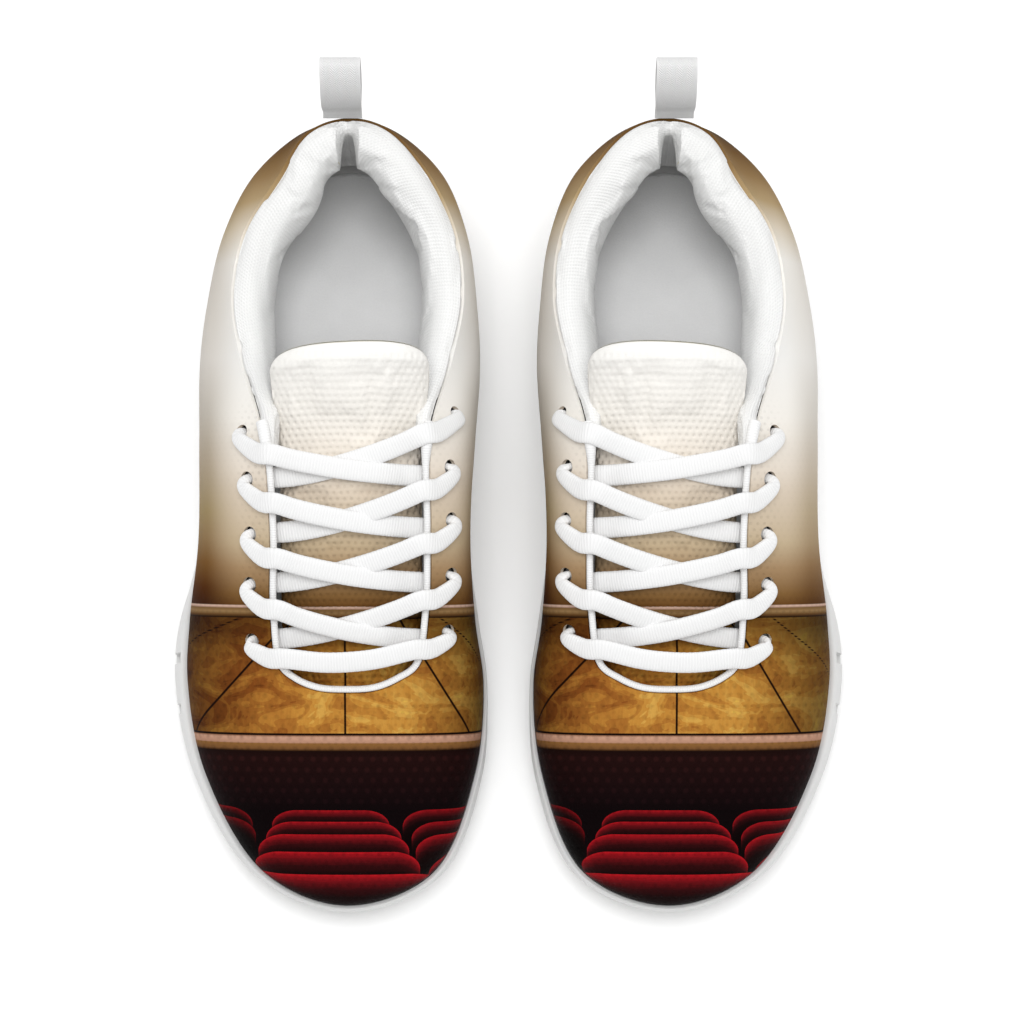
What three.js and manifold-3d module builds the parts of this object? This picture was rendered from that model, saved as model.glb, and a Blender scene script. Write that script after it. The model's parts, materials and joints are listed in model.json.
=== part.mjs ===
// A pair of lace-up sneakers with a printed textile upper, white knit collars, webbing pull tabs and
// foam soles. Millimetres. The floor is z = 0, the toes point along -Y, the right shoe is on the -X side.
// Everything is built for the right shoe round its own axis (lateral side at -x, medial side at +x);
// the left shoe is the same set of pieces mirrored.
import * as THREE from "three";
import Module from "manifold-3d";

const wasm = await Module();
wasm.setup();

// ---- driving dimensions, mm ----
const SHOE_LENGTH = 260.7; // sole, toe tip to heel
const SHOE_WIDTH = 104.5; // sole, at the ball
const COLLAR_HEIGHT = 85; // floor to the topline at the heel
const PAIR_GAP = 14.8; // between the two soles at the ball

const GAP = 0.3; // between neighbouring pieces
const UPPER_THICK = 1.4;
const STAY_THICK = 0.8; // eyestay backers and toe puff
const COUNTER_THICK = 1.5;
const LINING_THICK = 0.8;
const OUTSOLE_THICK = 3;
const BOARD_THICK = 1.6;
const SOCKLINER_THICK = 4;
const BED_INSET = 5.2; // insole board and sockliner, in from the feather line
const TOE_SPRING = 8;
const HEEL_BEVEL = 2.5;

const KNIT_THICK = 1.1; // collar cover
const ROLL_WIDTH = 12.4; // collar roll at the ankle
const HEEL_ROLL_WIDTH = 13;
const FRONT_ROLL_WIDTH = 5;

const PIPING_RADIUS = 1.1;
const EYELET_INSET = 6.3; // eyelet centre out from the throat edge
const EYELET_RADIUS = 2.8;
const EYELET_SIDES = 6;
const LACE_WIDTH = 7;
const LACE_THICK = 1.6;
const HOOK_DROP = 7.6; // a lace crosses the throat edge this far toeward of the eyelet it hooks into
const BAR_SAG = 2.8; // how far the lowest, straight run of lace hangs toward the toe
const LACE_HOLE_WIDTH = 3.2; // the lace gathered where it passes an eyelet
const AGLET_LENGTH = 12;
const AGLET_RADIUS = 1.5;

const TONGUE_FACE_THICK = 0.9;
const TONGUE_FOAM_THICK = 4;
const TONGUE_TOP_Y = 44;
const TONGUE_BASE_Y = -67;

const TAB_WIDTH = 13;
const TAB_SHIFT = -1.7; // the tab's centre from the middle of the heel
const TAB_LENGTH = 29.5;
const TAB_THICK = 1.5;
const TAB_LEAN = 23; // degrees back from upright

// ---- stations round one shoe ----
// Station 0 is the middle of the heel, 12 the toe tip; 1 to 11 run down the lateral side and 13 to 23
// come back up the medial side. Each row: topline, widest point and feather line as x, y, z, then the
// widest sole edge as x, y, then how steeply the upper leaves the topline, degrees.
const TABLE_LENGTH = 260.7;
const TABLE_WIDTH = 104.5;
const TABLE_HEIGHT = 85;
const STATIONS = [
  [[2.0, 121.6, 85], [1.5, 124.3, 48], [1.5, 119, 24], [1.5, 127], 85],
  [[-11, 117.5, 83], [-15, 121, 48.5], [-14.5, 114.8, 24], [-16, 122.8], 78],
  [[-21.5, 103, 77.8], [-30, 109, 49], [-27.5, 102.5, 24], [-31, 109], 72],
  [[-32.6, 86, 72], [-40.5, 89, 46.5], [-35, 84.5, 24], [-39, 87], 68],
  [[-36.6, 66, 67.5], [-45.8, 66.5, 45], [-39, 64, 23.5], [-42.5, 65], 66],
  [[-33.8, 46.6, 71], [-48.1, 46.4, 45], [-41, 44.5, 22.5], [-44, 45], 60],
  [[-25.8, 18.5, 84.5], [-48.1, 20, 43.5], [-42.3, 19, 21.5], [-45, 19], 38],
  [[-23.4, -12, 78.5], [-48.6, -12, 38], [-45, -12, 20.5], [-49.5, -12], 32],
  [[-23.6, -38, 69.3], [-51.8, -38, 31.5], [-50, -38, 19.5], [-56.9, -38], 30],
  [[-21.3, -55, 63.2], [-52.5, -58, 29], [-51.4, -58, 19], [-57.9, -57], 26],
  [[-16.2, -59.8, 61.5], [-46.5, -88, 28.5], [-45.5, -88, 19], [-51.2, -88], 20],
  [[-8.5, -62.9, 60.4], [-26.8, -120.7, 28.8], [-26.4, -120, 20.4], [-30.4, -121.5], 18],
  [[1.2, -63.6, 60], [0.5, -131.5, 29], [0.5, -130.6, 21.5], [1, -133.7], 18],
  [[10.9, -62.9, 60.4], [28.8, -120.7, 28.8], [28.2, -120, 20.4], [31.4, -121.5], 18],
  [[18.6, -59.9, 61.5], [42.7, -88, 28.5], [41.7, -88, 19], [45.2, -88], 20],
  [[25.3, -55, 63.2], [45.6, -58, 29], [44.5, -58, 19], [46.6, -58], 26],
  [[28.6, -38, 69.3], [43, -38, 31.5], [41.3, -38, 19.5], [43.9, -38], 30],
  [[29.3, -12, 78.5], [41, -12, 38], [37, -12, 20.5], [40, -12], 32],
  [[29.4, 18.5, 84.5], [42.9, 20, 43.5], [36.5, 19, 21.5], [38.7, 19], 38],
  [[35.8, 44.5, 71.8], [44.6, 46, 45], [37, 44.5, 22.5], [39.3, 45], 60],
  [[39.5, 65, 67.9], [43.6, 65.5, 45], [36.7, 64, 23.5], [39.6, 65], 66],
  [[37.2, 86, 71.3], [40.4, 88, 46.5], [34.4, 84.5, 24], [37.7, 87], 68],
  [[27.5, 105.5, 78.8], [32.3, 108.2, 49], [28, 102.5, 24], [31, 109], 72],
  [[14.5, 118.7, 83.2], [17.5, 120.8, 48.5], [16, 114.8, 24], [18, 122.8], 78],
];
const STATION_COUNT = STATIONS.length;
const COLUMN_STEP = 0.5; // stations per column of the ring grid
const BULGE = 0.3; // where the widest point falls between feather line (0) and topline (1)
const ROWS = [0, 0.12, 0.3, 0.46, 0.64, 0.82, 1];
const RIM_ROW = 1; // the sole rim reaches this row
const EYELET_Y = {
  lateral: [-46.6, -28.7, -12.8, 4.6, 19.8],
  medial: [-43.7, -25.7, -8.2, 8.5, 26.3],
};

const lengthScale = SHOE_LENGTH / TABLE_LENGTH;
const widthScale = SHOE_WIDTH / TABLE_WIDTH;
const heightScale = COLLAR_HEIGHT / TABLE_HEIGHT;
const BALL_MEDIAL = 46.6; // sole edge from the shoe axis, in the table
const axisX = BALL_MEDIAL * widthScale + PAIR_GAP / 2;
const place = ([x, y, z = 0]) => new THREE.Vector3(x * widthScale, y * lengthScale, z * heightScale);
const closedCurve = (column) =>
  new THREE.CatmullRomCurve3(STATIONS.map((row) => place(row[column])), true, "centripetal");
const toplineCurve = closedCurve(0);
const widestCurve = closedCurve(1);
const featherCurve = closedCurve(2);
const soleCurve = closedCurve(3);

const UP = new THREE.Vector3(0, 0, 1);
const ALONG = new THREE.Vector3(0, 1, 0);
const turn = (s) => (((s % STATION_COUNT) + STATION_COUNT) % STATION_COUNT) / STATION_COUNT;
const at = (curve, s) => curve.getPoint(turn(s));
const mix = (a, b, t) => a + (b - a) * t;
const add = (p, direction, distance) => p.clone().addScaledVector(direction, distance);
const steps = (from, to, count) =>
  Array.from({ length: count + 1 }, (_, i) => mix(from, to, i / count));
const columns = (from, to) => steps(from, to, Math.round((to - from) / COLUMN_STEP));
const ringColumns = columns(0, STATION_COUNT - COLUMN_STEP);

// Angle the upper makes with the level where it leaves the topline, radians.
function leanAt(s) {
  const whole = Math.floor(s);
  const a = STATIONS[((whole % STATION_COUNT) + STATION_COUNT) % STATION_COUNT][4];
  const b = STATIONS[(((whole + 1) % STATION_COUNT) + STATION_COUNT) % STATION_COUNT][4];
  return THREE.MathUtils.degToRad(mix(a, b, s - whole));
}

// A point of the upper's outer face: s is the station, u runs from the feather line to the topline.
function surface(s, u) {
  const top = at(toplineCurve, s);
  const widest = at(widestCurve, s);
  const feather = at(featherCurve, s);
  const out = widest.clone().sub(feather);
  if (u <= BULGE) {
    const low = new THREE.Vector3(feather.x + 0.75 * out.x, feather.y + 0.75 * out.y, feather.z + 0.1 * out.z);
    const high = add(widest, UP, -0.45 * out.z);
    return new THREE.CubicBezierCurve3(feather, low, high, widest).getPoint(u / BULGE);
  }
  const rise = widest.clone().sub(top);
  const flat = new THREE.Vector3(rise.x, rise.y, 0).normalize();
  const reach = 0.45 * rise.length();
  const lean = leanAt(s);
  const handle = add(add(top, flat, reach * Math.cos(lean)), UP, -reach * Math.sin(lean));
  const shoulder = add(widest, UP, 0.5 * (top.z - widest.z));
  return new THREE.CubicBezierCurve3(widest, shoulder, handle, top).getPoint((u - BULGE) / (1 - BULGE));
}

// Outward direction of the upper's face, and the direction in which it runs up to the topline.
function frameAt(s, u) {
  const along = surface(s + 0.02, u).sub(surface(s - 0.02, u));
  const up = surface(s, Math.min(u + 0.01, 1)).sub(surface(s, Math.max(u - 0.01, 0))).normalize();
  return { out: along.cross(up).normalize(), up };
}

const layer = (s, u, depth) => add(surface(s, u), frameAt(s, u).out, -depth);
const outwardFlat = (s) => {
  const out = frameAt(s, BULGE).out;
  return new THREE.Vector3(out.x, out.y, 0).normalize();
};

// ---- solids ----
function geometryOf(points, faces) {
  const positions = new Float32Array(points.flatMap((p) => [p.x, p.y, p.z]));
  let volume = 0;
  for (let i = 0; i < faces.length; i += 3) {
    const [a, b, c] = [points[faces[i]], points[faces[i + 1]], points[faces[i + 2]]];
    volume += a.dot(b.clone().cross(c));
  }
  const turned = volume < 0 ? faces.slice().reverse() : faces;
  const geometry = new THREE.BufferGeometry();
  geometry.setAttribute("position", new THREE.BufferAttribute(positions, 3));
  geometry.setIndex(turned);
  return geometry;
}

// The body between two grids of points of one size; "ring" closes both along their first index.
function sheet(outer, inner, ring) {
  const count = outer.length;
  const across = outer[0].length;
  const faces = [];
  const o = (j, k) => (j % count) * across + k;
  const i = (j, k) => (count + (j % count)) * across + k;
  const quad = (a, b, c, d) => faces.push(a, b, c, a, c, d);
  for (let j = 0; j < (ring ? count : count - 1); j++) {
    for (let k = 0; k < across - 1; k++) {
      quad(o(j, k), o(j + 1, k), o(j + 1, k + 1), o(j, k + 1));
      quad(i(j, k), i(j, k + 1), i(j + 1, k + 1), i(j + 1, k));
    }
    quad(o(j, 0), i(j, 0), i(j + 1, 0), o(j + 1, 0));
    quad(o(j, across - 1), o(j + 1, across - 1), i(j + 1, across - 1), i(j, across - 1));
  }
  if (!ring) {
    for (let k = 0; k < across - 1; k++) {
      quad(o(0, k), o(0, k + 1), i(0, k + 1), i(0, k));
      quad(o(count - 1, k), i(count - 1, k), i(count - 1, k + 1), o(count - 1, k + 1));
    }
  }
  return geometryOf([...outer.flat(), ...inner.flat()], faces);
}

// The body through a stack of rings of one even size, its two ends closed by ladders across the ring.
function stack(rings) {
  const count = rings[0].length;
  const half = count / 2;
  const faces = [];
  const quad = (a, b, c, d) => faces.push(a, b, c, a, c, d);
  for (let r = 0; r < rings.length - 1; r++) {
    for (let j = 0; j < count; j++) {
      const next = (j + 1) % count;
      quad(r * count + j, r * count + next, (r + 1) * count + next, (r + 1) * count + j);
    }
  }
  const lid = (first, flip) => {
    const tri = (a, b, c) => faces.push(first + a, first + (flip ? c : b), first + (flip ? b : c));
    tri(0, 1, count - 1);
    for (let j = 1; j < half - 1; j++) {
      tri(j, j + 1, count - j - 1);
      tri(j, count - j - 1, count - j);
    }
    tri(half - 1, half, half + 1);
  };
  lid(0, true);
  lid((rings.length - 1) * count, false);
  return geometryOf(rings.flat(), faces);
}

const toSolid = (geometry) =>
  new wasm.Manifold(
    new wasm.Mesh({
      numProp: 3,
      vertProperties: new Float32Array(geometry.attributes.position.array),
      triVerts: new Uint32Array(geometry.index.array),
    }),
  );

function cut(geometry, tools) {
  let body = toSolid(geometry);
  for (const tool of tools) {
    body = body.subtract(toSolid(tool));
  }
  const mesh = body.getMesh();
  const result = new THREE.BufferGeometry();
  result.setAttribute("position", new THREE.BufferAttribute(new Float32Array(mesh.vertProperties), 3));
  result.setIndex(new THREE.BufferAttribute(new Uint32Array(mesh.triVerts), 1));
  return result;
}

// A straight round rod from one point to another.
function rod(from, to, radius, sides) {
  const axis = to.clone().sub(from).normalize();
  const a = new THREE.Vector3(0.3, 1, 0.2).cross(axis).normalize();
  const b = axis.clone().cross(a);
  const ring = (centre) =>
    Array.from({ length: sides }, (_, i) => {
      const angle = (i / sides) * 2 * Math.PI;
      return add(add(centre, a, radius * Math.cos(angle)), b, radius * Math.sin(angle));
    });
  return stack([ring(from), ring(to)]);
}

function box(x0, x1, y0, y1, z0, z1) {
  const ring = (z) => [[x1, y0], [x1, y1], [x0, y1], [x0, y0]].map(([x, y]) => new THREE.Vector3(x, y, z));
  return stack([ring(z0), ring(z1)]);
}

// ---- sole ----
const floorAt = (y) => {
  const toe = Math.max(0, (-62 - y / lengthScale) / 72);
  const heel = Math.max(0, (y / lengthScale - 105) / 22);
  return TOE_SPRING * toe * toe + HEEL_BEVEL * heel * heel;
};

function soleRing(inset, height) {
  return ringColumns.map((s) => {
    const edge = at(soleCurve, s);
    const p = add(edge, outwardFlat(s), -inset);
    p.z = floorAt(p.y) + height;
    return p;
  });
}

function makeOutsole() {
  const body = stack([soleRing(4.5, 0), soleRing(2.2, 0.8), soleRing(1.9, OUTSOLE_THICK)]);
  const grooves = [-104, -86, -68, -50, -32, 40, 62, 84].map((y) =>
    box(-80, 80, y * lengthScale - 1.2, y * lengthScale + 1.2, -5, floorAt(y * lengthScale) + 1.2),
  );
  return cut(body, grooves);
}

function makeMidsole() {
  const rimInner = ringColumns.map((s) => layer(s, ROWS[RIM_ROW], -0.5));
  const bed = ringColumns.map((s) => {
    const p = add(at(featherCurve, s), outwardFlat(s), 0.5);
    p.z -= GAP + 0.1;
    return p;
  });
  const rimOuter = ringColumns.map((s) => {
    const inner = layer(s, ROWS[RIM_ROW], -0.5);
    const edge = at(soleCurve, s);
    const p = add(inner, outwardFlat(s), 1.2);
    p.lerp(new THREE.Vector3(edge.x, edge.y, inner.z), 0.35);
    return p;
  });
  const body = stack([
    soleRing(1.9, OUTSOLE_THICK + GAP),
    soleRing(0.6, OUTSOLE_THICK + GAP + 2.5),
    soleRing(0, 12.5),
    rimOuter,
    rimInner,
    bed,
  ]);
  // upright grooves between the blocks of the lateral forefoot, and one nick at each toe side
  const nicks = [[-49, 3.6, 8], [-65.8, 3.4, 8], [-90, 2.6, 8]].map(([y, width, low]) => {
    const edge = -56.5 * widthScale + Math.max(0, -y - 66) * 0.17;
    return box(-90, edge + 0.9, y * lengthScale - width / 2, y * lengthScale + width / 2, low, 40);
  });
  return cut(body, nicks);
}

function bedRing(inset, height) {
  return ringColumns.map((s) => {
    const p = add(at(featherCurve, s), outwardFlat(s), -inset);
    p.z += height;
    return p;
  });
}
const boardBase = -0.1;
const sockBase = boardBase + BOARD_THICK + GAP;
const makeBoard = () => stack([bedRing(BED_INSET, boardBase), bedRing(BED_INSET, boardBase + BOARD_THICK)]);
const makeSockliner = () =>
  stack([
    bedRing(BED_INSET, sockBase),
    bedRing(BED_INSET, sockBase + SOCKLINER_THICK - 1),
    bedRing(BED_INSET + 1, sockBase + SOCKLINER_THICK),
  ]);

// ---- upper and its linings: patches of one ring grid at different depths ----
function patch(stations, rows, depth, thickness, ring) {
  const grid = (d) => stations.map((s) => rows.map((u) => layer(s, u, d)));
  return sheet(grid(depth), grid(depth + thickness), ring);
}

// The u that lies "distance" outward of the topline, measured level.
function uAt(s, distance) {
  const top = surface(s, 1);
  let low = 0.4;
  let high = 1;
  for (let i = 0; i < 30; i++) {
    const middle = (low + high) / 2;
    const p = surface(s, middle);
    if (Math.hypot(p.x - top.x, p.y - top.y) > distance) low = middle;
    else high = middle;
  }
  return low;
}

// The station where the throat edge of one side reaches y.
function throatStation(side, y) {
  const falling = side === "lateral";
  let low = falling ? 5.4 : 15;
  let high = falling ? 9 : STATION_COUNT - 5.4;
  for (let i = 0; i < 30; i++) {
    const middle = (low + high) / 2;
    const above = at(toplineCurve, middle).y > y;
    if (above === falling) low = middle;
    else high = middle;
  }
  return (low + high) / 2;
}

// Station and u of the spot at y that lies "distance" outward of the throat edge.
function besideThroat(side, y, distance) {
  let s = throatStation(side, y);
  let u = 1;
  for (let i = 0; i < 4; i++) {
    u = uAt(s, distance);
    s = throatStation(side, at(toplineCurve, s).y + y - surface(s, u).y);
  }
  return { s, u };
}
const eyelets = (side) =>
  EYELET_Y[side].map((y) => {
    const { s, u } = besideThroat(side, y * lengthScale, EYELET_INSET);
    return { s, u, centre: surface(s, u), out: frameAt(s, u).out };
  });
const eyeletHoles = (side) =>
  eyelets(side).map((e) => rod(add(e.centre, e.out, 4), add(e.centre, e.out, -7), EYELET_RADIUS, EYELET_SIDES));

const stayDepth = UPPER_THICK + GAP;
const liningDepth = stayDepth + STAY_THICK + GAP;
const LINING_REACH = 0.6; // how far up the lining runs beside the throat
const COLLAR_END = { lateral: 5.6, medial: STATION_COUNT - 5.4 }; // where collar and vamp lining meet

const makeUpper = () =>
  cut(patch(ringColumns, ROWS, 0, UPPER_THICK, true), [...eyeletHoles("lateral"), ...eyeletHoles("medial")]);
const makeStay = (side, stations) =>
  cut(patch(stations, ROWS.slice(4), stayDepth, STAY_THICK, false), eyeletHoles(side));
const makePuff = () => patch(columns(10, 14), ROWS.slice(0, 5), stayDepth, STAY_THICK, false);
// The lining stops under the eyestay backers beside the throat and reaches the topline over the toes.
const makeVampLining = () => {
  const stations = [COLLAR_END.lateral + 0.03, ...columns(6, 18), COLLAR_END.medial - 0.03];
  const reach = (s) => {
    const fromToe = Math.abs(s - STATION_COUNT / 2);
    return mix(LINING_REACH, 1, THREE.MathUtils.clamp(3 - fromToe, 0, 1));
  };
  const grid = (depth) => stations.map((s) => ROWS.map((u) => layer(s, u * reach(s), depth)));
  return sheet(grid(liningDepth), grid(liningDepth + LINING_THICK), false);
};
const makeCounter = () => patch(columns(-3.5, 3.5), ROWS.slice(0, 5), stayDepth, COUNTER_THICK, false);

// ---- collar ----
const counterInner = stayDepth + COUNTER_THICK + GAP;

// How wide the roll is at a station counted from the heel, whichever side.
function rollWidth(fromHeel) {
  if (fromHeel < 1.5) return HEEL_ROLL_WIDTH;
  if (fromHeel < 3) return mix(HEEL_ROLL_WIDTH, ROLL_WIDTH, (fromHeel - 1.5) / 1.5);
  if (fromHeel < 4.5) return ROLL_WIDTH;
  return mix(ROLL_WIDTH, FRONT_ROLL_WIDTH, (fromHeel - 4.5) / 1.5);
}

// The collar cover's path in one column, from the topline over the roll and down to the feather line,
// moved back toward the foam by "back".
function collarPath(s, back) {
  const fromHeel = s > STATION_COUNT / 2 ? STATION_COUNT - s : s;
  const width = rollWidth(fromHeel);
  const top = at(toplineCurve, s);
  const inward = outwardFlat(s).negate();
  const puff = width / ROLL_WIDTH;
  const spot = (across, up) => add(add(top, inward, across), UP, up);
  const path = [
    spot(0.45, 0.6),
    spot(0.12 * width, 2.7 * puff),
    spot(0.4 * width, 3.9 * puff),
    spot(0.76 * width, 2 * puff),
    spot(width, -4.5 * puff),
    spot(0.97 * width, -13 * puff),
  ];
  const wall = counterInner + KNIT_THICK + GAP;
  const low = [layer(s, 0.34, wall + 1.2), layer(s, 0.12, wall), layer(s, 0, wall)];
  const full = [...path, ...low];
  return full.map((p, i) => {
    if (back === 0) return p;
    const before = full[Math.max(i - 1, 0)];
    const after = full[Math.min(i + 1, full.length - 1)];
    const run = after.clone().sub(before).normalize();
    const along = at(toplineCurve, s + 0.05).sub(at(toplineCurve, s - 0.05)).normalize();
    const away = run.cross(along).normalize();
    return add(p, away, back);
  });
}
const lobeStations = (side) =>
  side === "lateral"
    ? [0.06, ...columns(0.5, 5), COLLAR_END.lateral - 0.03]
    : [COLLAR_END.medial + 0.03, ...columns(19, STATION_COUNT - 0.5), STATION_COUNT - 0.06];
const makeCollar = (side) => {
  const stations = lobeStations(side);
  return sheet(
    stations.map((s) => collarPath(s, 0)),
    stations.map((s) => collarPath(s, KNIT_THICK)),
    false,
  );
};
const makeCollarFoam = (side) => {
  const stations = lobeStations(side);
  if (side === "lateral") stations[stations.length - 1] -= 0.25;
  else stations[0] += 0.25;
  const knit = stations.map((s) => collarPath(s, KNIT_THICK + GAP + 0.2).slice(1, 6));
  const wall = stations.map((s) => [0.98, 0.92, 0.84, 0.74, 0.62].map((u) => layer(s, u, counterInner + 0.2)));
  return sheet(knit, wall, false);
};

// ---- throat piping ----
function tube(centres, radius, sides) {
  const rings = centres.map((centre, i) => {
    const before = centres[Math.max(i - 1, 0)];
    const after = centres[Math.min(i + 1, centres.length - 1)];
    const run = after.clone().sub(before).normalize();
    const a = UP.clone().addScaledVector(run, -UP.dot(run)).normalize();
    const b = run.clone().cross(a);
    return Array.from({ length: sides }, (_, k) => {
      const angle = (k / sides) * 2 * Math.PI;
      return add(add(centre, a, radius * Math.cos(angle)), b, radius * Math.sin(angle));
    });
  });
  return stack(rings);
}
function makePiping() {
  const stations = steps(COLLAR_END.lateral + 0.13, COLLAR_END.medial - 0.13, 38);
  const centres = stations.map((s) => {
    const { out, up } = frameAt(s, 1);
    return add(add(surface(s, 1), up, PIPING_RADIUS + GAP + 0.25), out, -1.1);
  });
  return tube(centres, PIPING_RADIUS, 6);
}

// ---- tongue ----
const TONGUE_LINE = [[-67, 52], [-50, 60.5], [-38, 66.5], [-12, 76.8], [8, 83], [20, 87], [32, 95], [44, 105]];
const TONGUE_HALF = [[-67, 18], [-50, 19.5], [-30, 21.5], [20, 21.5], [30, 24], [38, 25], [42, 22.5], [44, 17]];
const TONGUE_AXIS_X = 2.9;
const TONGUE_ARCH = 6.3;

function alongTable(table, y) {
  const next = Math.max(1, table.findIndex(([at]) => at >= y));
  const [y0, a] = table[next - 1];
  const [y1, b] = table[next];
  return mix(a, b, (y - y0) / (y1 - y0));
}
function tongueTop(x, y) {
  const t = y / lengthScale;
  const offset = (x / widthScale - TONGUE_AXIS_X) / 22.5;
  return (alongTable(TONGUE_LINE, t) - TONGUE_ARCH * offset * offset) * heightScale;
}
function tongueOut(x, y) {
  const slopeX = tongueTop(x + 0.5, y) - tongueTop(x - 0.5, y);
  const low = Math.max(y - 6, TONGUE_BASE_Y * lengthScale);
  const high = Math.min(y + 6, TONGUE_TOP_Y * lengthScale);
  const slopeY = (tongueTop(x, high) - tongueTop(x, low)) / (high - low);
  return new THREE.Vector3(-slopeX, -slopeY, 1).normalize();
}
function tongueGrid(depth, margin) {
  const rows = [TONGUE_BASE_Y + margin, -50, -38, -25, -12, 0, 11, 20, 28, 34, 38, 42 - margin, TONGUE_TOP_Y - margin];
  return rows.map((y) =>
    steps(-1, 1, 4).map((across) => {
      const half = alongTable(TONGUE_HALF, y) - margin;
      const x = (TONGUE_AXIS_X + across * half) * widthScale;
      const yy = y * lengthScale;
      return add(new THREE.Vector3(x, yy, tongueTop(x, yy)), tongueOut(x, yy), -depth);
    }),
  );
}
const tongueLayer = (depth, thickness, margin) =>
  sheet(tongueGrid(depth, margin), tongueGrid(depth + thickness, margin), false);
const foamDepth = TONGUE_FACE_THICK + GAP;
const tongueLiningDepth = foamDepth + TONGUE_FOAM_THICK + 2 * GAP;

// ---- lace ----
const overSurface = 1.5; // lace centre above the upper
const underSurface = stayDepth + STAY_THICK + 1.65; // lace centre below the upper's face
const overTongue = 1.55;
const crossLift = LACE_THICK + 0.7;
const BAR_DROP = 5.2; // the straight run crosses the throat edge this far toeward of its eyelets
const UNDER_DROP = { lateral: 0.7, medial: 3.7 }; // a run leaves the edge this far toeward of its eyelet
const BEND = { lateral: 1.65, medial: 2.2 }; // how long a run stays level before it turns up to the next eyelet

const other = { lateral: "medial", medial: "lateral" };

// One cross-section of the lace: its centre, the outward direction of what it lies on, its width and
// its thickness. The way its flat side runs follows later from the path.
const knot = (p, out, width = LACE_WIDTH, thick = LACE_THICK) => ({ p, out, width, thick });

// The lace's cross-section beside the throat, lifted off the upper's face (or under it, when lift is
// negative).
function beside(side, y, distance, lift, width, thick) {
  const { s, u } = besideThroat(side, y, distance);
  return knot(layer(s, u, -lift), frameAt(s, u).out, width, thick);
}

// From the tongue over the piped edge, slanting out past the eyelet and hooked back into it.
function hook(side, eyelet, drop) {
  const y = eyelet.centre.y;
  const station = throatStation(side, y - drop);
  const { out, up } = frameAt(station, 1);
  const inside = add(add(surface(station, 1), up, 2 * PIPING_RADIUS + 2), out, overSurface + 1);
  return [
    knot(inside, out),
    beside(side, y - drop, 0.01, overSurface + 0.9, 0.98 * LACE_WIDTH),
    beside(side, y - 0.76 * drop, 0.45 * EYELET_INSET, overSurface + 0.4, 0.9 * LACE_WIDTH, 1.8),
    beside(side, y - 0.46 * drop, 0.86 * EYELET_INSET, overSurface + 0.2, 0.76 * LACE_WIDTH, 2),
    beside(side, y - 0.16 * drop, EYELET_INSET + 0.9, overSurface, 0.6 * LACE_WIDTH, 2),
  ];
}

const throughEyelet = (eyelet) =>
  [0.7, -1.2, -3.3].map((lift) => knot(add(eyelet.centre, eyelet.out, lift), eyelet.out, LACE_HOLE_WIDTH));

// One run out from under the eyelet "from", across the tongue and over the other side into "to". It
// hangs taut between its two edges and rests on the tongue where the tongue stands higher.
function strand(fromSide, from, to) {
  const yA = from.centre.y - UNDER_DROP[fromSide];
  const start = beside(fromSide, yA, 0.01, -underSurface - 0.2, 6.8);
  const over = hook(other[fromSide], to, HOOK_DROP);
  const end = over[0].p;
  const onTop = fromSide === "medial" ? crossLift : 0;
  const onTongue = (share, lift) => {
    const x = mix(start.p.x, end.x, share);
    const y = mix(start.p.y, end.y, Math.pow(share, BEND[fromSide]));
    const z = Math.max(tongueTop(x, y) + overTongue, mix(start.p.z, end.z, share)) + lift;
    return knot(new THREE.Vector3(x, y, z), tongueOut(x, y));
  };
  return [
    beside(fromSide, yA, 0.62 * EYELET_INSET, -underSurface - 0.2, 4.6),
    start,
    onTongue(0.12, 0),
    onTongue(0.27, 0.7 * onTop),
    onTongue(0.5, onTop),
    onTongue(0.73, 0.7 * onTop),
    onTongue(0.88, 0),
    ...over,
  ];
}

// From the first eyelet of one side up to the last eyelet and its tucked end.
function laceHalf(startSide) {
  const sides = { lateral: eyelets("lateral"), medial: eyelets("medial") };
  const knots = [...throughEyelet(sides[startSide][0])];
  let side = startSide;
  for (let i = 0; i < 4; i++) {
    const to = sides[other[side]][i + 1];
    knots.push(...strand(side, sides[side][i], to), ...throughEyelet(to));
    side = other[side];
  }
  const last = sides[side][4];
  const toward = side === "lateral" ? 1 : -1;
  const tail = [
    [0.12, 0.07, 5.6, 4.5],
    [0.3, 0.15, 6.6, 6],
    [0.55, 0.25, 7, 6],
    [0.85, 0.34, 7, 5],
    [1.2, 0.42, 7, 3.2],
  ];
  for (const [ds, du, depth, width] of tail) {
    const s = last.s + toward * ds;
    knots.push(knot(layer(s, last.u - du, depth), frameAt(s, last.u - du).out, width));
  }
  return knots;
}

function laceKnots() {
  const first = eyelets("lateral")[0];
  const second = eyelets("medial")[0];
  const ends = [hook("lateral", first, BAR_DROP), hook("medial", second, BAR_DROP)];
  const middle = [0.3, 0.5, 0.7].map((share) => {
    const p = ends[0][0].p.clone().lerp(ends[1][0].p, share);
    const sag = 4 * share * (1 - share);
    p.y -= BAR_SAG * sag;
    p.z = Math.max(p.z + sag, tongueTop(p.x, p.y) + overTongue);
    return knot(p, tongueOut(p.x, p.y));
  });
  return [...laceHalf("lateral").reverse(), ...ends[0].reverse(), ...middle, ...ends[1], ...laceHalf("medial")];
}

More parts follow.
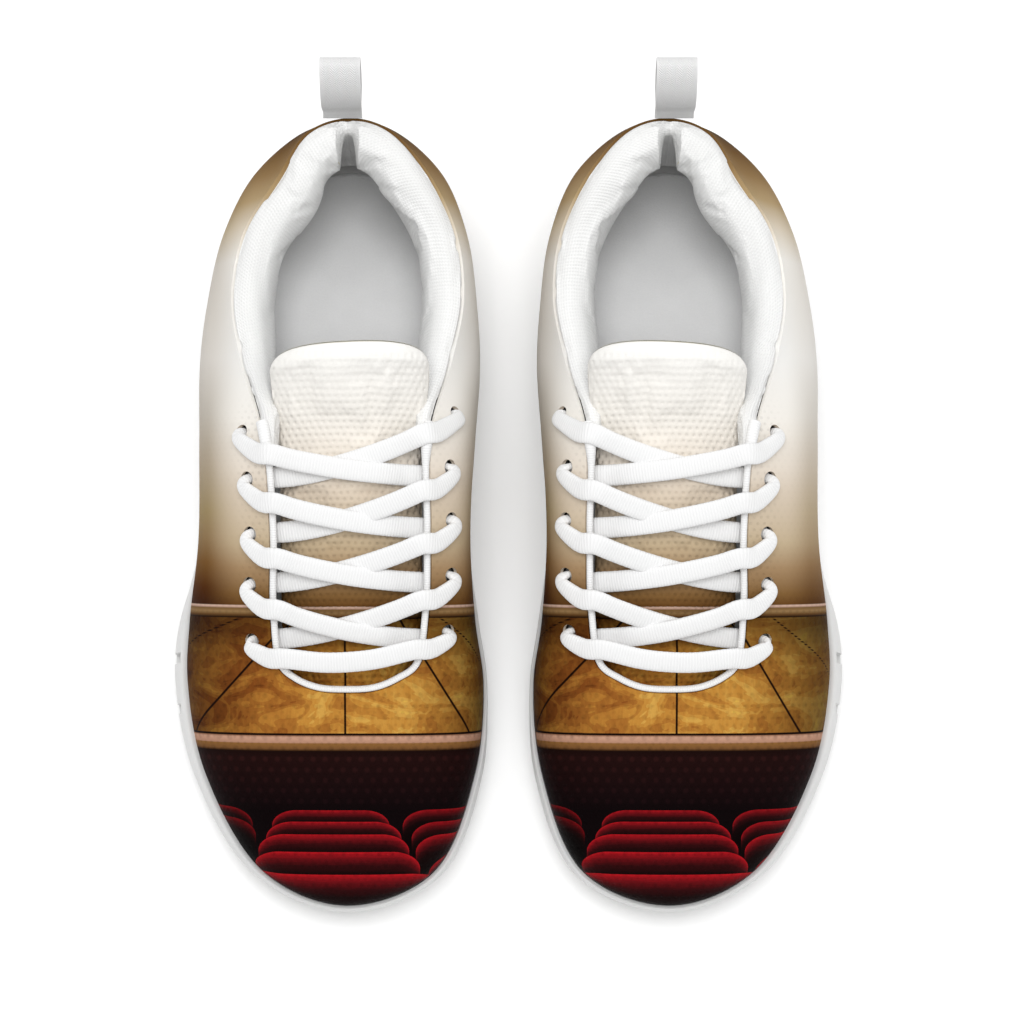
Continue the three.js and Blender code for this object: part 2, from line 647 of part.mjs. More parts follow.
// Sections square to the path, their flat sides along the surface below and never flipping over.
function laceRings(knots) {
  const path = new THREE.CatmullRomCurve3(knots.map((k) => k.p), false, "centripetal");
  const count = knots.length - 1;
  let before = ALONG;
  return knots.map((k, i) => {
    const run = path.getTangent(i / count);
    const w = run.clone().cross(k.out);
    if (w.dot(before) < 0) w.negate();
    w.lerp(before, w.length() < 0.5 ? 0.6 : 0);
    w.addScaledVector(run, -w.dot(run)).normalize();
    before = w;
    const h = run.clone().cross(w);
    const corner = (across, up) => add(add(k.p, w, across * k.width), h, up * k.thick);
    return [
      corner(0.5, 0),
      corner(0.36, 0.5),
      corner(-0.36, 0.5),
      corner(-0.5, 0),
      corner(-0.36, -0.5),
      corner(0.36, -0.5),
    ];
  });
}
const lacePath = laceKnots();
const makeLace = () => stack(laceRings(lacePath));
function makeAglet(end) {
  const tip = end === 0 ? lacePath[0].p : lacePath[lacePath.length - 1].p;
  const before = end === 0 ? lacePath[1].p : lacePath[lacePath.length - 2].p;
  const run = tip.clone().sub(before).normalize();
  return rod(add(tip, run, GAP), add(tip, run, GAP + AGLET_LENGTH), AGLET_RADIUS, 8);
}

// ---- pull tab: one folded webbing loop, its sewn foot on the hinge line ----
function makePullTab() {
  const foot = at(toplineCurve, 0);
  const hinge = new THREE.Vector3(foot.x + TAB_SHIFT, foot.y + 1.2, foot.z + 2.1);
  const lean = THREE.MathUtils.degToRad(TAB_LEAN);
  const axis = new THREE.Vector3(0, Math.sin(lean), Math.cos(lean));
  const back = new THREE.Vector3(0, Math.cos(lean), -Math.sin(lean));
  const outer = [[-1.6, 0.9], [1, 1.6], [4, 2.1], [9, 3.9], [15, 4.9], [21, 4.8], [26, 3.4], [29, 1.5]];
  const inner = [[3.4, 0.25], [4.2, 0.6], [6, 1.1], [9.6, 2.4], [15, 3.4], [20.6, 3.3], [25, 2.1], [27.3, 0.7]];
  const loop = (half) => {
    const scale = TAB_LENGTH / 29;
    const up = half.map(([v, w]) => [v * scale, w]);
    const down = half.map(([v, w]) => [v * scale, -w]).reverse();
    return [...up, ...down];
  };
  const grid = (half) =>
    loop(half).map(([v, w]) =>
      [-0.5, 0.5].map((side) => {
        const p = add(add(hinge, axis, v), back, w);
        p.x += side * TAB_WIDTH;
        return p;
      }),
    );
  return sheet(grid(outer), grid(inner), true);
}

// ---- materials ----
const textile = (color) => new THREE.MeshStandardMaterial({ color, roughness: 0.9, metalness: 0 });
const KNIT = textile(0xececea);
const PRINT = textile(0xa98247);
const LINING = textile(0xd2d2d0);
const FOAM = textile(0xe9e2c8);
const WEBBING = textile(0xf2f2f2);
const BOARD = new THREE.MeshStandardMaterial({ color: 0xb9a581, roughness: 0.85, metalness: 0 });
const STAY = new THREE.MeshStandardMaterial({ color: 0x5f5a52, roughness: 0.8, metalness: 0 });
const SOCK = textile(0xbdbdbd);
const SOLE_FOAM = new THREE.MeshStandardMaterial({ color: 0xe8e8e6, roughness: 0.6, metalness: 0 });
const RUBBER = new THREE.MeshStandardMaterial({ color: 0xdadad6, roughness: 0.7, metalness: 0 });
const PLASTIC = new THREE.MeshStandardMaterial({ color: 0xf4f4f4, roughness: 0.3, metalness: 0 });

const pieces = {
  outsole: [makeOutsole(), RUBBER],
  midsole: [makeMidsole(), SOLE_FOAM],
  insole_board: [makeBoard(), BOARD],
  sockliner: [makeSockliner(), SOCK],
  printed_upper: [makeUpper(), PRINT],
  toe_puff: [makePuff(), STAY],
  heel_counter: [makeCounter(), STAY],
  eyestay_lateral: [makeStay("lateral", columns(5.5, 9)), STAY],
  eyestay_medial: [makeStay("medial", columns(15, 18.5)), STAY],
  vamp_lining: [makeVampLining(), LINING],
  collar_lateral: [makeCollar("lateral"), KNIT],
  collar_medial: [makeCollar("medial"), KNIT],
  collar_foam_lateral: [makeCollarFoam("lateral"), FOAM],
  collar_foam_medial: [makeCollarFoam("medial"), FOAM],
  throat_piping: [makePiping(), WEBBING],
  tongue_face: [tongueLayer(0, TONGUE_FACE_THICK, 0), PRINT],
  tongue_foam: [tongueLayer(foamDepth, TONGUE_FOAM_THICK, 0.8), FOAM],
  tongue_lining: [tongueLayer(tongueLiningDepth, TONGUE_FACE_THICK, 0), LINING],
  lace: [makeLace(), WEBBING],
  aglet_lateral: [makeAglet(0), PLASTIC],
  aglet_medial: [makeAglet(1), PLASTIC],
  pull_tab: [makePullTab(), WEBBING],
};

function mirrored(geometry) {
  const copy = geometry.clone();
  copy.applyMatrix4(new THREE.Matrix4().makeScale(-1, 1, 1));
  const index = Array.from(copy.index.array);
  copy.setIndex(index.reverse());
  return copy;
}

// The pair stands with the middle of its length at y = 0.
const extent = new THREE.Box3();
for (const [geometry] of Object.values(pieces)) {
  geometry.computeBoundingBox();
  extent.union(geometry.boundingBox);
}
const middleY = (extent.min.y + extent.max.y) / 2;

const pair = new THREE.Group();
pair.name = "pair_of_sneakers";
for (const [name, [geometry, material]] of Object.entries(pieces)) {
  const right = new THREE.Mesh(geometry.clone().translate(-axisX, -middleY, 0), material);
  right.name = "right_" + name;
  const left = new THREE.Mesh(mirrored(geometry).translate(axisX, -middleY, 0), material);
  left.name = "left_" + name;
  pair.add(right, left);
}

export default pair;
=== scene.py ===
"""A pair of lace-up sneakers: printed mesh uppers, padded knit collars and tongues, flat laces, webbing
pull tabs and foam soles. Shapes are worked out in millimetres for the right shoe round its own axis
(toes at -y, lateral side at -x); the left shoe is the same set of pieces mirrored."""

import json
import math

import bmesh
import bpy
import numpy as np
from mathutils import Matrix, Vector


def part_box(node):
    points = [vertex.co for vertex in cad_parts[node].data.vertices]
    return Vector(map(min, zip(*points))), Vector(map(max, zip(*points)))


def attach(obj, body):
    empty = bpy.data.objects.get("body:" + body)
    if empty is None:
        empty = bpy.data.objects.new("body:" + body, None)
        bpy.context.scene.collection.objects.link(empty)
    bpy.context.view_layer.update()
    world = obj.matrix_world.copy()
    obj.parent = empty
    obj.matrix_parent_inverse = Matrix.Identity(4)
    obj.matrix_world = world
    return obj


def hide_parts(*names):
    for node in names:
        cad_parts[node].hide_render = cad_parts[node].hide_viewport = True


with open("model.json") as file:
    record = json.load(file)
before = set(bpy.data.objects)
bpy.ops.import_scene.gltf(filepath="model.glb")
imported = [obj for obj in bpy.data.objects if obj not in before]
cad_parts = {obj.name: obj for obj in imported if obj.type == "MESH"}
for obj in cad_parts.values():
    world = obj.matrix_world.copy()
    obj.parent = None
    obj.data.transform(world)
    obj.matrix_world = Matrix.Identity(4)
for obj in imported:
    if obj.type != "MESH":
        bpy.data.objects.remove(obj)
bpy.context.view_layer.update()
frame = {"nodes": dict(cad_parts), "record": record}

# ---- sizes, mm ----
MM = 0.001
GAP = 0.3
UPPER_THICK = 1.4
STAY_THICK = 0.8
COUNTER_THICK = 1.5
LINING_THICK = 0.8
KNIT_THICK = 1.1
OUTSOLE_THICK = 3.0
TREAD_DEPTH = 1.1
BOARD_THICK = 1.6
SOCKLINER_THICK = 4.0
BED_INSET = 5.2
TOE_SPRING = 8.0
HEEL_BEVEL = 2.5
ROLL_WIDTH = 12.4  # the collar roll where its padding has its plain height
PIPING_RADIUS = 1.1
EYELET_INSET = 6.3
EYELET_RADIUS = 2.5
LACE_WIDTH = 7.0
LACE_THICK = 2.3
LACE_HOLE_WIDTH = 3.2
HOOK_DROP = 7.6
BAR_DROP = 5.2
BAR_SAG = 2.8
AGLET_LENGTH = 12.0
AGLET_RADIUS = 1.5
TONGUE_THICK = 6.7
TONGUE_SKIN = 0.9
TONGUE_BASE_Y = -67.0
TONGUE_SIDE_Y = 34.5  # the tongue's side edges end here and its rounded top begins
TONGUE_TOP_Y = 44.0
TONGUE_AXIS_X = 2.9
TONGUE_ARCH = 6.3
TONGUE_ARCH_REACH = 22.5  # how far to the side the arch has dropped that much
TAB_WIDTH = 13.0
TAB_SHIFT = -1.7  # the tab's centre from the middle of the heel
TAB_LENGTH = 29.5
TAB_SEWN = (4.6, 6.4)  # how far up the tab its two rows of stitches lie
TAB_LEAN = math.radians(23)
DIMPLE_PITCH = 2.3
DIMPLE_DEPTH = 0.42
EYELET_Y = {
    "lateral": (-46.6, -28.7, -12.8, 4.6, 19.8),
    "medial": (-43.7, -25.7, -8.2, 8.5, 26.3),
}
UNDER_DROP = {"lateral": 0.7, "medial": 3.7}  # a lace run leaves the throat edge this far below its eyelet
BEND = {"lateral": 1.65, "medial": 2.2}  # how long a run stays level before it turns up
OTHER = {"lateral": "medial", "medial": "lateral"}

# ---- the shape of one shoe ----
# Station 0 is the middle of the heel, 12 the toe tip; 1 to 11 run down the lateral side and 13 to 23 come
# back up the medial side. Each row: topline, widest point and feather line as x, y, z, then the widest
# sole edge as x, y, then how steeply the upper leaves the topline, degrees.
STATIONS = [
    ((2.0, 121.6, 85), (1.5, 124.3, 48), (1.5, 119, 24), (1.5, 127), 85),
    ((-11, 117.5, 83), (-15, 121, 48.5), (-14.5, 114.8, 24), (-16, 122.8), 78),
    ((-21.5, 103, 77.8), (-30, 109, 49), (-27.5, 102.5, 24), (-31, 109), 72),
    ((-32.6, 86, 72), (-40.5, 89, 46.5), (-35, 84.5, 24), (-39, 87), 68),
    ((-36.6, 66, 67.5), (-45.8, 66.5, 45), (-39, 64, 23.5), (-42.5, 65), 66),
    ((-33.8, 46.6, 71), (-48.1, 46.4, 45), (-41, 44.5, 22.5), (-44, 45), 60),
    ((-25.8, 18.5, 84.5), (-48.1, 20, 43.5), (-42.3, 19, 21.5), (-45, 19), 38),
    ((-23.4, -12, 78.5), (-48.6, -12, 38), (-45, -12, 20.5), (-49.5, -12), 32),
    ((-23.6, -38, 69.3), (-51.8, -38, 31.5), (-50, -38, 19.5), (-56.9, -38), 30),
    ((-21.3, -55, 63.2), (-52.5, -58, 29), (-51.4, -58, 19), (-57.9, -57), 26),
    ((-16.2, -59.8, 61.5), (-46.5, -88, 28.5), (-45.5, -88, 19), (-51.2, -88), 20),
    ((-8.5, -62.9, 60.4), (-26.8, -120.7, 28.8), (-26.4, -120, 20.4), (-30.4, -121.5), 18),
    ((1.2, -63.6, 60), (0.5, -131.5, 29), (0.5, -130.6, 21.5), (1, -133.7), 18),
    ((10.9, -62.9, 60.4), (28.8, -120.7, 28.8), (28.2, -120, 20.4), (31.4, -121.5), 18),
    ((18.6, -59.9, 61.5), (42.7, -88, 28.5), (41.7, -88, 19), (45.2, -88), 20),
    ((25.3, -55, 63.2), (45.6, -58, 29), (44.5, -58, 19), (46.6, -58), 26),
    ((28.6, -38, 69.3), (43, -38, 31.5), (41.3, -38, 19.5), (43.9, -38), 30),
    ((29.3, -12, 78.5), (41, -12, 38), (37, -12, 20.5), (40, -12), 32),
    ((29.4, 18.5, 84.5), (42.9, 20, 43.5), (36.5, 19, 21.5), (38.7, 19), 38),
    ((35.8, 44.5, 71.8), (44.6, 46, 45), (37, 44.5, 22.5), (39.3, 45), 60),
    ((39.5, 65, 67.9), (43.6, 65.5, 45), (36.7, 64, 23.5), (39.6, 65), 66),
    ((37.2, 86, 71.3), (40.4, 88, 46.5), (34.4, 84.5, 24), (37.7, 87), 68),
    ((27.5, 105.5, 78.8), (32.3, 108.2, 49), (28, 102.5, 24), (31, 109), 72),
    ((14.5, 118.7, 83.2), (17.5, 120.8, 48.5), (16, 114.8, 24), (18, 122.8), 78),
]
COUNT = len(STATIONS)
BULGE = 0.3  # where the widest point falls between feather line (0) and topline (1)
UP = np.array([0.0, 0, 1])
SHARP_ANGLE = math.radians(50)


def unit(v):
    return v / np.linalg.norm(v, axis=-1, keepdims=True)


def catmull(points, closed=False):
    """A smooth curve through the points, centripetal; called with t from 0 to the number of spans."""
    P = np.asarray(points, float)
    n = len(P)

    def curve(t):
        t = np.asarray(t, float)
        i = np.floor(t).astype(int)
        if closed:
            f = t - i
            a, b, c, d = (P[(i + k) % n] for k in (-1, 0, 1, 2))
        else:
            i = np.clip(i, 0, n - 2)
            f = t - i
            b, c = P[i], P[i + 1]
            a = np.where((i > 0)[..., None], P[np.maximum(i - 1, 0)], 2 * P[0] - P[1])
            d = np.where((i < n - 2)[..., None], P[np.minimum(i + 2, n - 1)], 2 * P[-1] - P[-2])
        gap = lambda p, q: np.maximum(np.linalg.norm(q - p, axis=-1, keepdims=True) ** 0.5, 1e-4)
        g0, g1, g2 = gap(a, b), gap(b, c), gap(c, d)
        m1 = ((b - a) / g0 - (c - a) / (g0 + g1) + (c - b) / g1) * g1
        m2 = ((c - b) / g1 - (d - b) / (g1 + g2) + (d - c) / g2) * g1
        f = f[..., None]
        return b + f * m1 + f * f * (3 * (c - b) - 2 * m1 - m2) + f ** 3 * (2 * (b - c) + m1 + m2)

    return curve


def outline(column):
    return catmull([(*row[column], 0.0)[:3] for row in STATIONS], closed=True)


topline, widest, feather, sole_edge = (outline(k) for k in range(4))
LEANS = np.radians([row[4] for row in STATIONS])


def lean_at(s):
    i = np.floor(s).astype(int)
    return LEANS[i % COUNT] + (LEANS[(i + 1) % COUNT] - LEANS[i % COUNT]) * (s - i)


def bezier(a, b, c, d, t):
    k = 1 - t
    return k ** 3 * a + 3 * k * k * t * b + 3 * k * t * t * c + t ** 3 * d


def surface(s, u):
    """The upper's outer face, mm: s is the station, u runs from the feather line (0) to the topline (1)."""
    s, u = np.broadcast_arrays(np.asarray(s, float), np.asarray(u, float))
    top, wide, low = topline(s), widest(s), feather(s)
    out = wide - low
    t = (np.clip(u, 0, BULGE) / BULGE)[..., None]
    lower = bezier(low, low + out * (0.75, 0.75, 0.1), wide - UP * 0.45 * out[..., 2:], wide, t)
    rise = wide - top
    flat = unit(rise * (1, 1, 0))
    reach = 0.45 * np.linalg.norm(rise, axis=-1, keepdims=True)
    lean = lean_at(s)[..., None]
    handle = top + flat * reach * np.cos(lean) - UP * reach * np.sin(lean)
    shoulder = wide - UP * 0.5 * rise[..., 2:]
    t = ((np.clip(u, BULGE, 1) - BULGE) / (1 - BULGE))[..., None]
    upper = bezier(wide, shoulder, handle, top, t)
    return np.where((u <= BULGE)[..., None], lower, upper)


def frame_at(s, u):
    """Outward direction of the upper's face, and the direction in which it runs up to the topline."""
    s, u = np.broadcast_arrays(np.asarray(s, float), np.asarray(u, float))
    along = surface(s + 0.02, u) - surface(s - 0.02, u)
    up = unit(surface(s, np.minimum(u + 0.01, 1)) - surface(s, np.maximum(u - 0.01, 0)))
    return unit(np.cross(along, up)), up


def layer(s, u, depth):
    return surface(s, u) - frame_at(s, u)[0] * np.asarray(depth)[..., None]


def mix(a, b, t):
    return a + (b - a) * t


def smooth(t):
    t = np.clip(t, 0, 1)
    return t * t * (3 - 2 * t)


def outward_flat(s):
    return unit(frame_at(s, BULGE)[0] * (1, 1, 0))


def arc_length(points, axis=0):
    """Distance run along one direction of a grid of points, from 0."""
    step = np.linalg.norm(np.diff(points, axis=axis), axis=-1)
    pad = [(1, 0) if k == axis else (0, 0) for k in range(step.ndim)]
    return np.pad(np.cumsum(step, axis=axis), pad)


def cloth_along(points):
    """Places on a cloth that lies along a grid, mm."""
    return np.stack([arc_length(points, 0), arc_length(points, 1)], -1)


def grid(s, u):
    return np.meshgrid(np.asarray(s, float), np.asarray(u, float), indexing="ij")


# ---- closed forms ----
# A form is its points, its four-sided faces, for each face corner its place on the cloth ("cloth", mm),
# and the end caps.
def form(points, quads, cloth, caps=()):
    return {"points": points, "quads": quads, "cloth": cloth, "caps": [list(c) for c in caps]}


def slab(outer, inner, cloth, ring=False):
    """The body between two grids of points; ring closes both along their first index. cloth has one more
    row than a ring."""
    n, m = outer.shape[:2]
    j, k = np.meshgrid(np.arange(n if ring else n - 1), np.arange(m - 1), indexing="ij")
    j, k = j.ravel(), k.ravel()
    o = lambda a, b: (a % n) * m + b
    i = lambda a, b: n * m + (a % n) * m + b
    corners = [((j, k), (j + 1, k), (j + 1, k + 1), (j, k + 1))]
    quads = [np.stack([o(*c) for c in corners[0]], -1)]
    corners.append(((j, k), (j, k + 1), (j + 1, k + 1), (j + 1, k)))
    quads.append(np.stack([i(*c) for c in corners[1]], -1))
    row = np.arange(n if ring else n - 1)
    for edge, order in ((0, 1), (m - 1, -1)):
        e = np.full_like(row, edge)
        loop = [(o, row, e), (i, row, e), (i, row + 1, e), (o, row + 1, e)][::order]
        quads.append(np.stack([f(a, b) for f, a, b in loop], -1))
        corners.append(tuple((a, b) for _, a, b in loop))
    if not ring:
        column = np.arange(m - 1)
        for edge, order in ((0, 1), (n - 1, -1)):
            e = np.full_like(column, edge)
            loop = [(o, e, column), (o, e, column + 1), (i, e, column + 1), (i, e, column)][::order]
            quads.append(np.stack([f(a, b) for f, a, b in loop], -1))
            corners.append(tuple((a, b) for _, a, b in loop))
    places = [np.stack([cloth[a, b] for a, b in c], 1) for c in corners]
    points = np.concatenate([outer.reshape(-1, 3), inner.reshape(-1, 3)])
    return form(points, np.concatenate(quads), np.concatenate(places))


def stack(rings, cloth=None):
    """The body through a stack of rings, its two ends closed."""
    r, c = rings.shape[:2]
    if cloth is None:
        closed = np.concatenate([rings, rings[:, :1]], axis=1)
        cloth = np.stack([arc_length(closed, 1), arc_length(closed, 0)], -1)
    a, b = np.meshgrid(np.arange(r - 1), np.arange(c), indexing="ij")
    a, b = a.ravel(), b.ravel()
    corner = [(a, b), (a, b + 1), (a + 1, b + 1), (a + 1, b)]
    quads = np.stack([p * c + q % c for p, q in corner], -1)
    places = np.stack([cloth[p, q] for p, q in corner], 1)
    lids, lid_places, caps = [], [], []
    j = np.arange(1, c // 2 - 1)
    for ring, order in ((0, -1), (r - 1, 1)):
        ladder = [j, j + 1, c - j - 1, c - j][::order]
        lids.append(np.stack(ladder, -1) + ring * c)
        lid_places.append(np.stack([cloth[ring, q] for q in ladder], 1))
        ends = ([0, 1, c - 1], [c // 2 - 1, c // 2, c // 2 + 1])
        caps += [[ring * c + v for v in end[::order]] for end in ends]
    quads, places = np.concatenate([quads, *lids]), np.concatenate([places, *lid_places])
    return form(rings.reshape(-1, 3), quads, places, caps)


def facing_out(f):
    """The form with its faces turned outwards."""
    a, b, c, d = (f["points"][f["quads"][:, k]] for k in range(4))
    volume = (np.cross(a, b) * c).sum() + (np.cross(a, c) * d).sum()
    for cap in f["caps"]:
        p = f["points"][cap]
        volume += (np.cross(np.broadcast_to(p[0], p[1:-1].shape), p[1:-1]) * p[2:]).sum()
    if volume > 0:
        return f
    return form(f["points"], f["quads"][:, ::-1], f["cloth"][:, ::-1], [cap[::-1] for cap in f["caps"]])


def tube(centres, across, up, width, thick, sides, power=2.0):
    """A rounded ribbon along its centres: across and up are its unit directions, power squares it off."""
    angle = np.linspace(0, 2 * math.pi, sides, endpoint=False)
    cos, sin = np.cos(angle), np.sin(angle)
    a = np.sign(cos) * np.abs(cos) ** (2 / power)
    b = np.sign(sin) * np.abs(sin) ** (2 / power)
    half = lambda size: (np.broadcast_to(size, len(centres)) / 2)[:, None, None]
    rings = centres[:, None] + across[:, None] * a[:, None] * half(width)
    rings = rings + up[:, None] * b[:, None] * half(thick)
    run = arc_length(centres)
    turn = np.linspace(0, 1, sides + 1) * 2.0 * np.mean(np.broadcast_to(width, len(centres)))
    return stack(rings, np.stack(np.meshgrid(run, turn, indexing="ij"), -1))


# ---- objects ----
def row_shift():
    """From the shoe's own millimetres to the pair's, found from where the upper's CAD node is."""
    stations, levels = np.arange(0, COUNT, 0.5), (0, 0.12, 0.3, 0.46, 0.64, 0.82, 1)
    low = surface(*grid(stations, levels)).reshape(-1, 3).min(axis=0)
    return np.array(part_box("right_printed_upper")[0]) / MM - low


SHIFT = row_shift()


def mesh_of(name, f, side, printed=False):
    """A Blender mesh of a form, in metres in the row frame, with its cloth places as a UV map. A printed
    cloth is cut from the same print for both shoes, so its pattern isn't mirrored."""
    f = facing_out(f)
    points = f["points"] + SHIFT
    quads, cloth, caps = f["quads"], f["cloth"], f["caps"]
    if side == "left":
        points = points * (-1, 1, 1)
        quads, cloth, caps = quads[:, ::-1], cloth[:, ::-1], [cap[::-1] for cap in caps]
        if printed:
            cloth = cloth * (-1, 1)
    loops = np.concatenate([quads.ravel(), *caps]).astype(np.int32)
    sizes = np.array([4] * len(quads) + [len(cap) for cap in caps], np.int32)
    mesh = bpy.data.meshes.new(name)
    mesh.vertices.add(len(points))
    mesh.vertices.foreach_set("co", (points * MM).astype(np.float32).ravel())
    mesh.loops.add(len(loops))
    mesh.loops.foreach_set("vertex_index", loops)
    mesh.polygons.add(len(sizes))
    starts = np.concatenate([[0], np.cumsum(sizes)[:-1]]).astype(np.int32)
    mesh.polygons.foreach_set("loop_start", starts)
    mesh.update(calc_edges=True)
    uv = np.zeros((len(loops), 2), np.float32)
    uv[: len(quads) * 4] = cloth.reshape(-1, 2)
    mesh.uv_layers.new(name="cloth").data.foreach_set("uv", uv.ravel())
    mesh.polygons.foreach_set("use_smooth", np.ones(len(sizes), bool))
    mesh.set_sharp_from_angle(angle=SHARP_ANGLE)
    mesh.validate()
    return mesh


def place(name, mesh, material, slot, body, nodes=()):
    """A finished piece: on its body, with its finish, standing for its CAD nodes."""
    obj = bpy.data.objects.new(name, mesh)
    bpy.context.scene.collection.objects.link(obj)
    mesh.materials.clear()
    mesh.materials.append(material)
    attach(obj, body)
    if nodes:
        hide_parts(*nodes)
    return obj


def cut(mesh, tools):
    """The mesh with closed tool meshes taken away from it."""
    target = bpy.data.objects.new("cut_target", mesh)
    bpy.context.scene.collection.objects.link(target)
    work = bmesh.new()
    for tool in tools:
        work.from_mesh(tool)
    joined_tools = bpy.data.meshes.new("cut_tools")
    work.to_mesh(joined_tools)
    work.free()
    cutter = bpy.data.objects.new("cut_tools", joined_tools)
    bpy.context.scene.collection.objects.link(cutter)
    modifier = target.modifiers.new("cut", "BOOLEAN")
    modifier.operation = "DIFFERENCE"
    modifier.solver = "EXACT"
    modifier.object = cutter
    made = baked(target)
    for obj in (target, cutter):
        bpy.data.objects.remove(obj)
    made.set_sharp_from_angle(angle=SHARP_ANGLE)
    return made


def baked(obj):
    """The object's mesh as its modifiers leave it."""
    graph = bpy.context.evaluated_depsgraph_get()
    graph.update()
    return bpy.data.meshes.new_from_object(obj.evaluated_get(graph), depsgraph=graph)


# ---- upper ----
STAY_DEPTH = UPPER_THICK + GAP
LINING_DEPTH = STAY_DEPTH + STAY_THICK + GAP
COUNTER_INNER = STAY_DEPTH + COUNTER_THICK + GAP
COLLAR_END = 5.6  # the station where collar and vamp lining meet, counted from the heel
COLLAR_TIP = 6.12  # how far the collar's tapered front end reaches
LINING_END_MEDIAL = 5.4  # where the vamp lining ends on the medial side, counted from the heel
SEAM_GAP = 0.03  # stations left free at each end of the vamp lining
THROAT_RANGE = {"lateral": (5.4, 9), "medial": (COUNT - 5.4, 15)}  # stations along each throat edge
STEEP_SHARE = 0.8  # how much of a steep wall's height the print takes up
PRINT_DIP = 0.105  # how far the print's lines dip for each mm that the upper lies low


def crown_height(y):
    """How high the upper is along its middle, over the toes and beside the throat."""
    toes = surface(COUNT / 2, np.linspace(BULGE, 1, 30))
    beside = topline(np.linspace(10, 6, 30))
    line = np.concatenate([toes, beside])
    return np.interp(y, line[:, 1], line[:, 2])


def unrolled(points, s):
    """Level places of a grid that runs from low to high, its steep parts laid out flat. The print is
    drawn for the shoe seen from slightly toeward, so its straight lines dip where the upper is low."""
    step = np.diff(points, axis=1)
    level = np.linalg.norm(step[..., :2], axis=-1)
    steep = np.maximum(np.abs(step[..., 2]) - level, 0) * STEEP_SHARE
    extra = np.zeros(points.shape[:2])
    extra[:, :-1] = np.cumsum(steep[:, ::-1], axis=1)[:, ::-1]
    way = outward_flat(s)[:, None, :2]
    shift = way * way * way * extra[..., None]
    y = points[..., 1]
    shift[..., 1] *= np.where(y < 0, smooth((-y - 85) / 20), 1)
    dip = (points[..., 2] - crown_height(y)) * PRINT_DIP * (1 - smooth((y - 10) / 50))
    return points[..., :2] + shift + dip[..., None] * (0, 1)


def upper_form(columns=448, levels=52):
    s = np.linspace(0, COUNT, columns + 1)
    u = np.linspace(0, 1, levels)
    S, U = grid(s, u)
    outer, inner = layer(S, U, 0.0), layer(S, U, UPPER_THICK)
    return slab(outer[:-1], inner[:-1], unrolled(outer, s), ring=True)


def patch(stations, levels, depth, thick, reach=None):
    """Part of a layer of the shoe, between two depths under the upper's face."""
    S, U = grid(stations, levels)
    if reach is not None:
        U = U * reach(S)
    outer, inner = layer(S, U, depth), layer(S, U, depth + thick)
    return slab(outer, inner, cloth_along(outer))


def vamp_lining_form():
    stations = np.linspace(COLLAR_END + SEAM_GAP, COUNT - LINING_END_MEDIAL - SEAM_GAP, 220)
    reach = lambda s: mix(0.6, 1.0, np.clip(3 - np.abs(s - COUNT / 2), 0, 1))
    return patch(stations, np.linspace(0, 1, 40), LINING_DEPTH, LINING_THICK, reach)


def u_at(s, distance):
    """The u that lies "distance" outward of the topline, measured level."""
    u = np.linspace(0.4, 1, 200)
    p = surface(np.full_like(u, s), u)
    away = np.hypot(*(p - p[-1])[:, :2].T)
    return float(np.interp(distance, away[::-1], u[::-1]))


def throat_station(side, y):
    s = np.linspace(*THROAT_RANGE[side], 500)
    return float(np.interp(-y, -topline(s)[:, 1], s))


def beside_throat(side, y, distance):
    """Station and u of the spot at y that lies "distance" outward of the throat edge."""
    s = throat_station(side, y)
    for _ in range(4):
        u = u_at(s, distance)
        s = throat_station(side, topline(s)[1] + y - surface(s, u)[1])
    return s, u


def eyelets(side):
    found = []
    for y in EYELET_Y[side]:
        s, u = beside_throat(side, y, EYELET_INSET)
        found.append({"s": s, "u": u, "centre": surface(s, u), "out": frame_at(s, u)[0]})
    return found


def rod(start, end, radius, sides=20):
    axis = unit(end - start)
    a = unit(np.cross((0.3, 1, 0.2), axis))
    b = np.cross(axis, a)
    centres = np.stack([start, end])
    same = np.ones((2, 1))
    return tube(centres, a * same, b * same, 2 * radius, 2 * radius, sides)


def eyelet_tools(side):
    rods = []
    for half in ("lateral", "medial"):
        for e in eyelets(half):
            hole = rod(e["centre"] + 4 * e["out"], e["centre"] - 7 * e["out"], EYELET_RADIUS)
            rods.append(mesh_of("eyelet_tool", hole, side))
    return rods


# ---- collar ----
def roll_width(from_heel):
    """How wide the padded roll is, counted from the heel, with the notch between the two lobes."""
    stations = (0, 1.6, 2.4, 3.2, 4.5, 5.2, 5.7, 5.95, 6.15)
    spread_out = np.asarray(from_heel)[..., None] + np.linspace(-0.3, 0.3, 13)
    wide = np.interp(spread_out, stations, (14.0, 14.6, 14.4, 13.4, 12.6, 10, 8, 6.5, 3.6)).mean(axis=-1)
    return mix(5.0, wide, smooth((from_heel - 0.07) / 0.36))


def collar_path(s):
    """One column of the collar's face per station: over the roll and down the inside to the feather line."""
    from_heel = np.minimum(s, COUNT - s)
    width = roll_width(from_heel)[:, None]
    puff = width / ROLL_WIDTH
    top = topline(s)
    inward = -unit(sum(outward_flat(s + d) for d in np.linspace(-0.7, 0.7, 9)))
    spot = lambda across, up: top + inward * across + UP * up
    wall = COUNTER_INNER + KNIT_THICK + GAP
    path = [
        spot(1.2, -0.7),
        spot(0.9 + 0.1 * width, 2.5 * puff),
        spot(0.4 * width, 3.9 * puff),
        spot(0.76 * width, 2 * puff),
        spot(width, -4.5 * puff),
        spot(0.97 * width, -13 * puff),
        layer(s, 0.34, wall + 1.2),
        layer(s, 0.12, wall),
        layer(s, 0.0, wall),
    ]
    return np.stack(path, axis=0)


def collar_stations(side, count=150):
    lateral = 0.002 + (COLLAR_TIP - 0.002) * np.linspace(0, 1, count) ** 1.25
    return lateral if side == "lateral" else COUNT - lateral[::-1]


